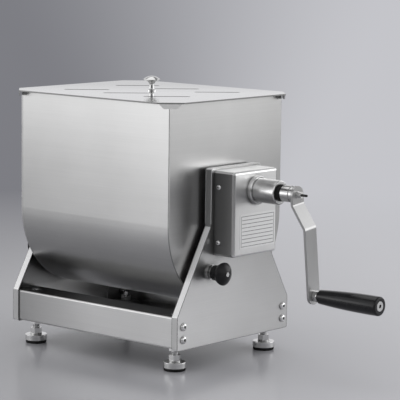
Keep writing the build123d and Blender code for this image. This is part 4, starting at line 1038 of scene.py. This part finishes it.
def set_camera(scene, studio):
    """Places the camera at its bearing and distance from its target."""
    azimuth, elevation, roll = [math.radians(angle)
                                for angle in (studio.azimuth, studio.elevation, studio.roll)]
    back = Vector((math.sin(azimuth) * math.cos(elevation), -math.cos(azimuth) * math.cos(elevation),
                   math.sin(elevation)))
    level = Vector(rightwards(studio))
    right = level * math.cos(roll) + back.cross(level) * math.sin(roll)
    up = back.cross(right)
    target = Vector(studio.target) + Vector((TANK_MIDDLE_X, 0, 0))
    data = bpy.data.cameras.new("camera")
    data.sensor_width = 36
    data.lens = studio.lens
    data.clip_end = 200
    camera = bpy.data.objects.new("camera", data)
    scene.collection.objects.link(camera)
    turn = Matrix((right, up, back)).transposed()
    camera.matrix_world = Matrix.Translation(target + back * studio.distance) @ turn.to_4x4()
    scene.camera = camera


def levelled(graph, way):
    """A direction turned level."""
    return graph.node("ShaderNodeVectorMath", {"operation": "NORMALIZE"},
                      {0: graph.stretch(way, (1, 1, 0))})


def backdrop(graph, way, studio):
    """The backdrop's colour, which brightens from the left to the right of the camera's picture."""
    across = graph.dot(levelled(graph, way), rightwards(studio))
    return graph.tint(graph.ramp(across, *BACKDROP_TURN, "SMOOTHSTEP"),
                      studio.backdrop_colour, studio.backdrop_light)


def room_tone(graph, way, studio, tones):
    """Mixes four tones, for left, right, before and behind as the camera sees them, by a direction."""
    flat = levelled(graph, way)
    total = 0.0
    for turn, tone in zip((-math.pi, 0, -math.pi / 2, math.pi / 2), tones):
        facing = graph.largest(graph.dot(flat, rightwards(studio, turn)), 0.0)
        total = facing * facing * tone + total
    return total


def set_world(scene, studio):
    """Even soft light for dull surfaces, and a room of soft tones for reflections."""
    world = bpy.data.worlds.new("studio")
    world.use_nodes = True
    scene.world = world
    graph = Graph(world.node_tree)
    way = graph.node("ShaderNodeTexCoord", out="Generated")
    height = graph.parts(way)[2]
    low = graph.ramp(height, *CEILING_EDGE, "SMOOTHSTEP")
    rising = graph.ramp(height, *UPPER_WALLS_EDGE, "SMOOTHSTEP")
    walls = [rising * (upper - wall) + wall for upper, wall in zip(studio.upper_walls, studio.walls)]
    tone = low * room_tone(graph, way, studio, walls) + (1 - low) * studio.ceiling
    camera_ray = graph.ray("Camera")
    colour = graph.mix(camera_ray, graph.room_grey(tone), backdrop(graph, way, studio))
    seen = graph.node("ShaderNodeBackground", None, {"Color": colour, "Strength": 1.0})
    light = graph.node("ShaderNodeBackground", None, {
        "Color": (1.0, 1.0, 1.0, 1), "Strength": studio.room_light})
    looked = graph.clamped(camera_ray + graph.ray("Glossy") + graph.ray("Transmission"))
    both = graph.node("ShaderNodeMixShader", None, {0: looked, 1: light, 2: seen})
    graph.node("ShaderNodeOutputWorld", None, {"Surface": both}, out=None)


def set_floor(studio):
    """A plain floor, brighter on the right as painted light, that gives way to the backdrop away from
    the feet.
    """
    half = studio.floor_size
    mesh = bpy.data.meshes.new("floor")
    mesh.from_pydata([(-half, -half, 0), (half, -half, 0), (half, half, 0), (-half, half, 0)], [],
                     [(0, 1, 2, 3)])
    floor = link_mesh("floor", mesh)
    finish = Finish("floor_plain", 0.0, FLOOR_ROUGHNESS, studio.floor_colour, ior=FLOOR_IOR)
    # Painted light: the floor's colour brightens towards the right.
    sideways = finish.ramp(finish.dot(finish.place, rightwards(studio)), *FLOOR_TURN)
    dark, light = [shade(studio.floor_colour, share) for share in FLOOR_SHARES]
    finish.set("Base Color", finish.tint(sideways, dark, light))
    far = finish.node("ShaderNodeVectorMath", {"operation": "LENGTH"}, {0: finish.place}, out="Value")
    camera_ray = finish.ray("Camera")
    looked = finish.clamped(camera_ray + finish.ray("Glossy"))
    tone = room_tone(finish, finish.place, studio, studio.ground)
    colour = finish.mix(camera_ray, finish.room_grey(tone), backdrop(finish, finish.place, studio))
    glow = finish.node("ShaderNodeEmission", None, {"Color": colour, "Strength": 1.0})
    mixed = finish.node("ShaderNodeMixShader", None, {
        0: finish.ramp(far, *FLOOR_EDGE) * looked, 1: finish.lit, 2: glow})
    finish.feed(finish.output.inputs["Surface"], mixed)
    mesh.materials.append(finish.material)


# Soft panels: place from the floor under the tank's middle, size and brightness
PANELS = (
    ("front_panel", (-1.1, -1.05, 0.5), (1.3, 0.5), 0.97),
    ("low_panel", (-0.45, -1.36, 0.18), (0.8, 0.34), 0.55),
    ("top_panel", (-0.2, 0.1, 1.7), (1.1, 1.3), 0.9),
    ("rear_panel", (1.5, 1.7, 0.75), (1.6, 1.3), 1.0),
)


def set_lamps():
    """Large soft panels that all face the middle of the mixer."""
    middle = (CAD_LOW + CAD_HIGH) / 2
    for name, offset, size, radiance in PANELS:
        data = bpy.data.lights.new(name, "AREA")
        data.shape = "RECTANGLE"
        data.size, data.size_y = size
        data.energy = radiance * math.pi * size[0] * size[1]
        lamp = bpy.data.objects.new(name, data)
        lamp.visible_camera = False
        bpy.context.scene.collection.objects.link(lamp)
        place = Vector((TANK_MIDDLE_X, 0, 0)) + Vector(offset)
        lamp.location = place
        lamp.rotation_mode = "QUATERNION"
        lamp.rotation_quaternion = (place - middle).to_track_quat("Z", "Y")


class MIXER_PT_panel(bpy.types.Panel):
    """Lists the mixer's pieces in the sidebar"""

    bl_idname = "MIXER_PT_panel"
    bl_label = "Meat mixer"
    bl_space_type = "VIEW_3D"
    bl_region_type = "UI"
    bl_category = "Mixer"

    def draw(self, context):
        for operator in OPERATORS:
            self.layout.operator(operator.bl_idname)


GROUPS = {
    "mixer_sheet": SheetFinish,
    "mixer_turned": TurnedFinish,
    "mixer_dark": DarkFinish,
    "mixer_lid": LidFinish,
    "mixer_threads": ThreadSizes,
    "mixer_welds": WeldSizes,
    "mixer_label": LabelSizes,
    "mixer_studio": StudioSettings,
}
OPERATORS = (
    MIXER_OT_sheet, MIXER_OT_drive, MIXER_OT_crank, MIXER_OT_knobs, MIXER_OT_screws, MIXER_OT_feet,
    MIXER_OT_threads, MIXER_OT_welds, MIXER_OT_label, MIXER_OT_stage,
)


def register():
    for group in (*GROUPS.values(), *OPERATORS, MIXER_PT_panel):
        bpy.utils.register_class(group)
    for name, group in GROUPS.items():
        setattr(bpy.types.Scene, name, PointerProperty(type=group))


def unregister():
    for name in GROUPS:
        delattr(bpy.types.Scene, name)
    for group in (MIXER_PT_panel, *reversed(OPERATORS), *GROUPS.values()):
        bpy.utils.unregister_class(group)


def main():
    register()
    for operator in OPERATORS:
        area, name = operator.bl_idname.split(".")
        getattr(getattr(bpy.ops, area), name)()


if __name__ == "__main__":
    main()
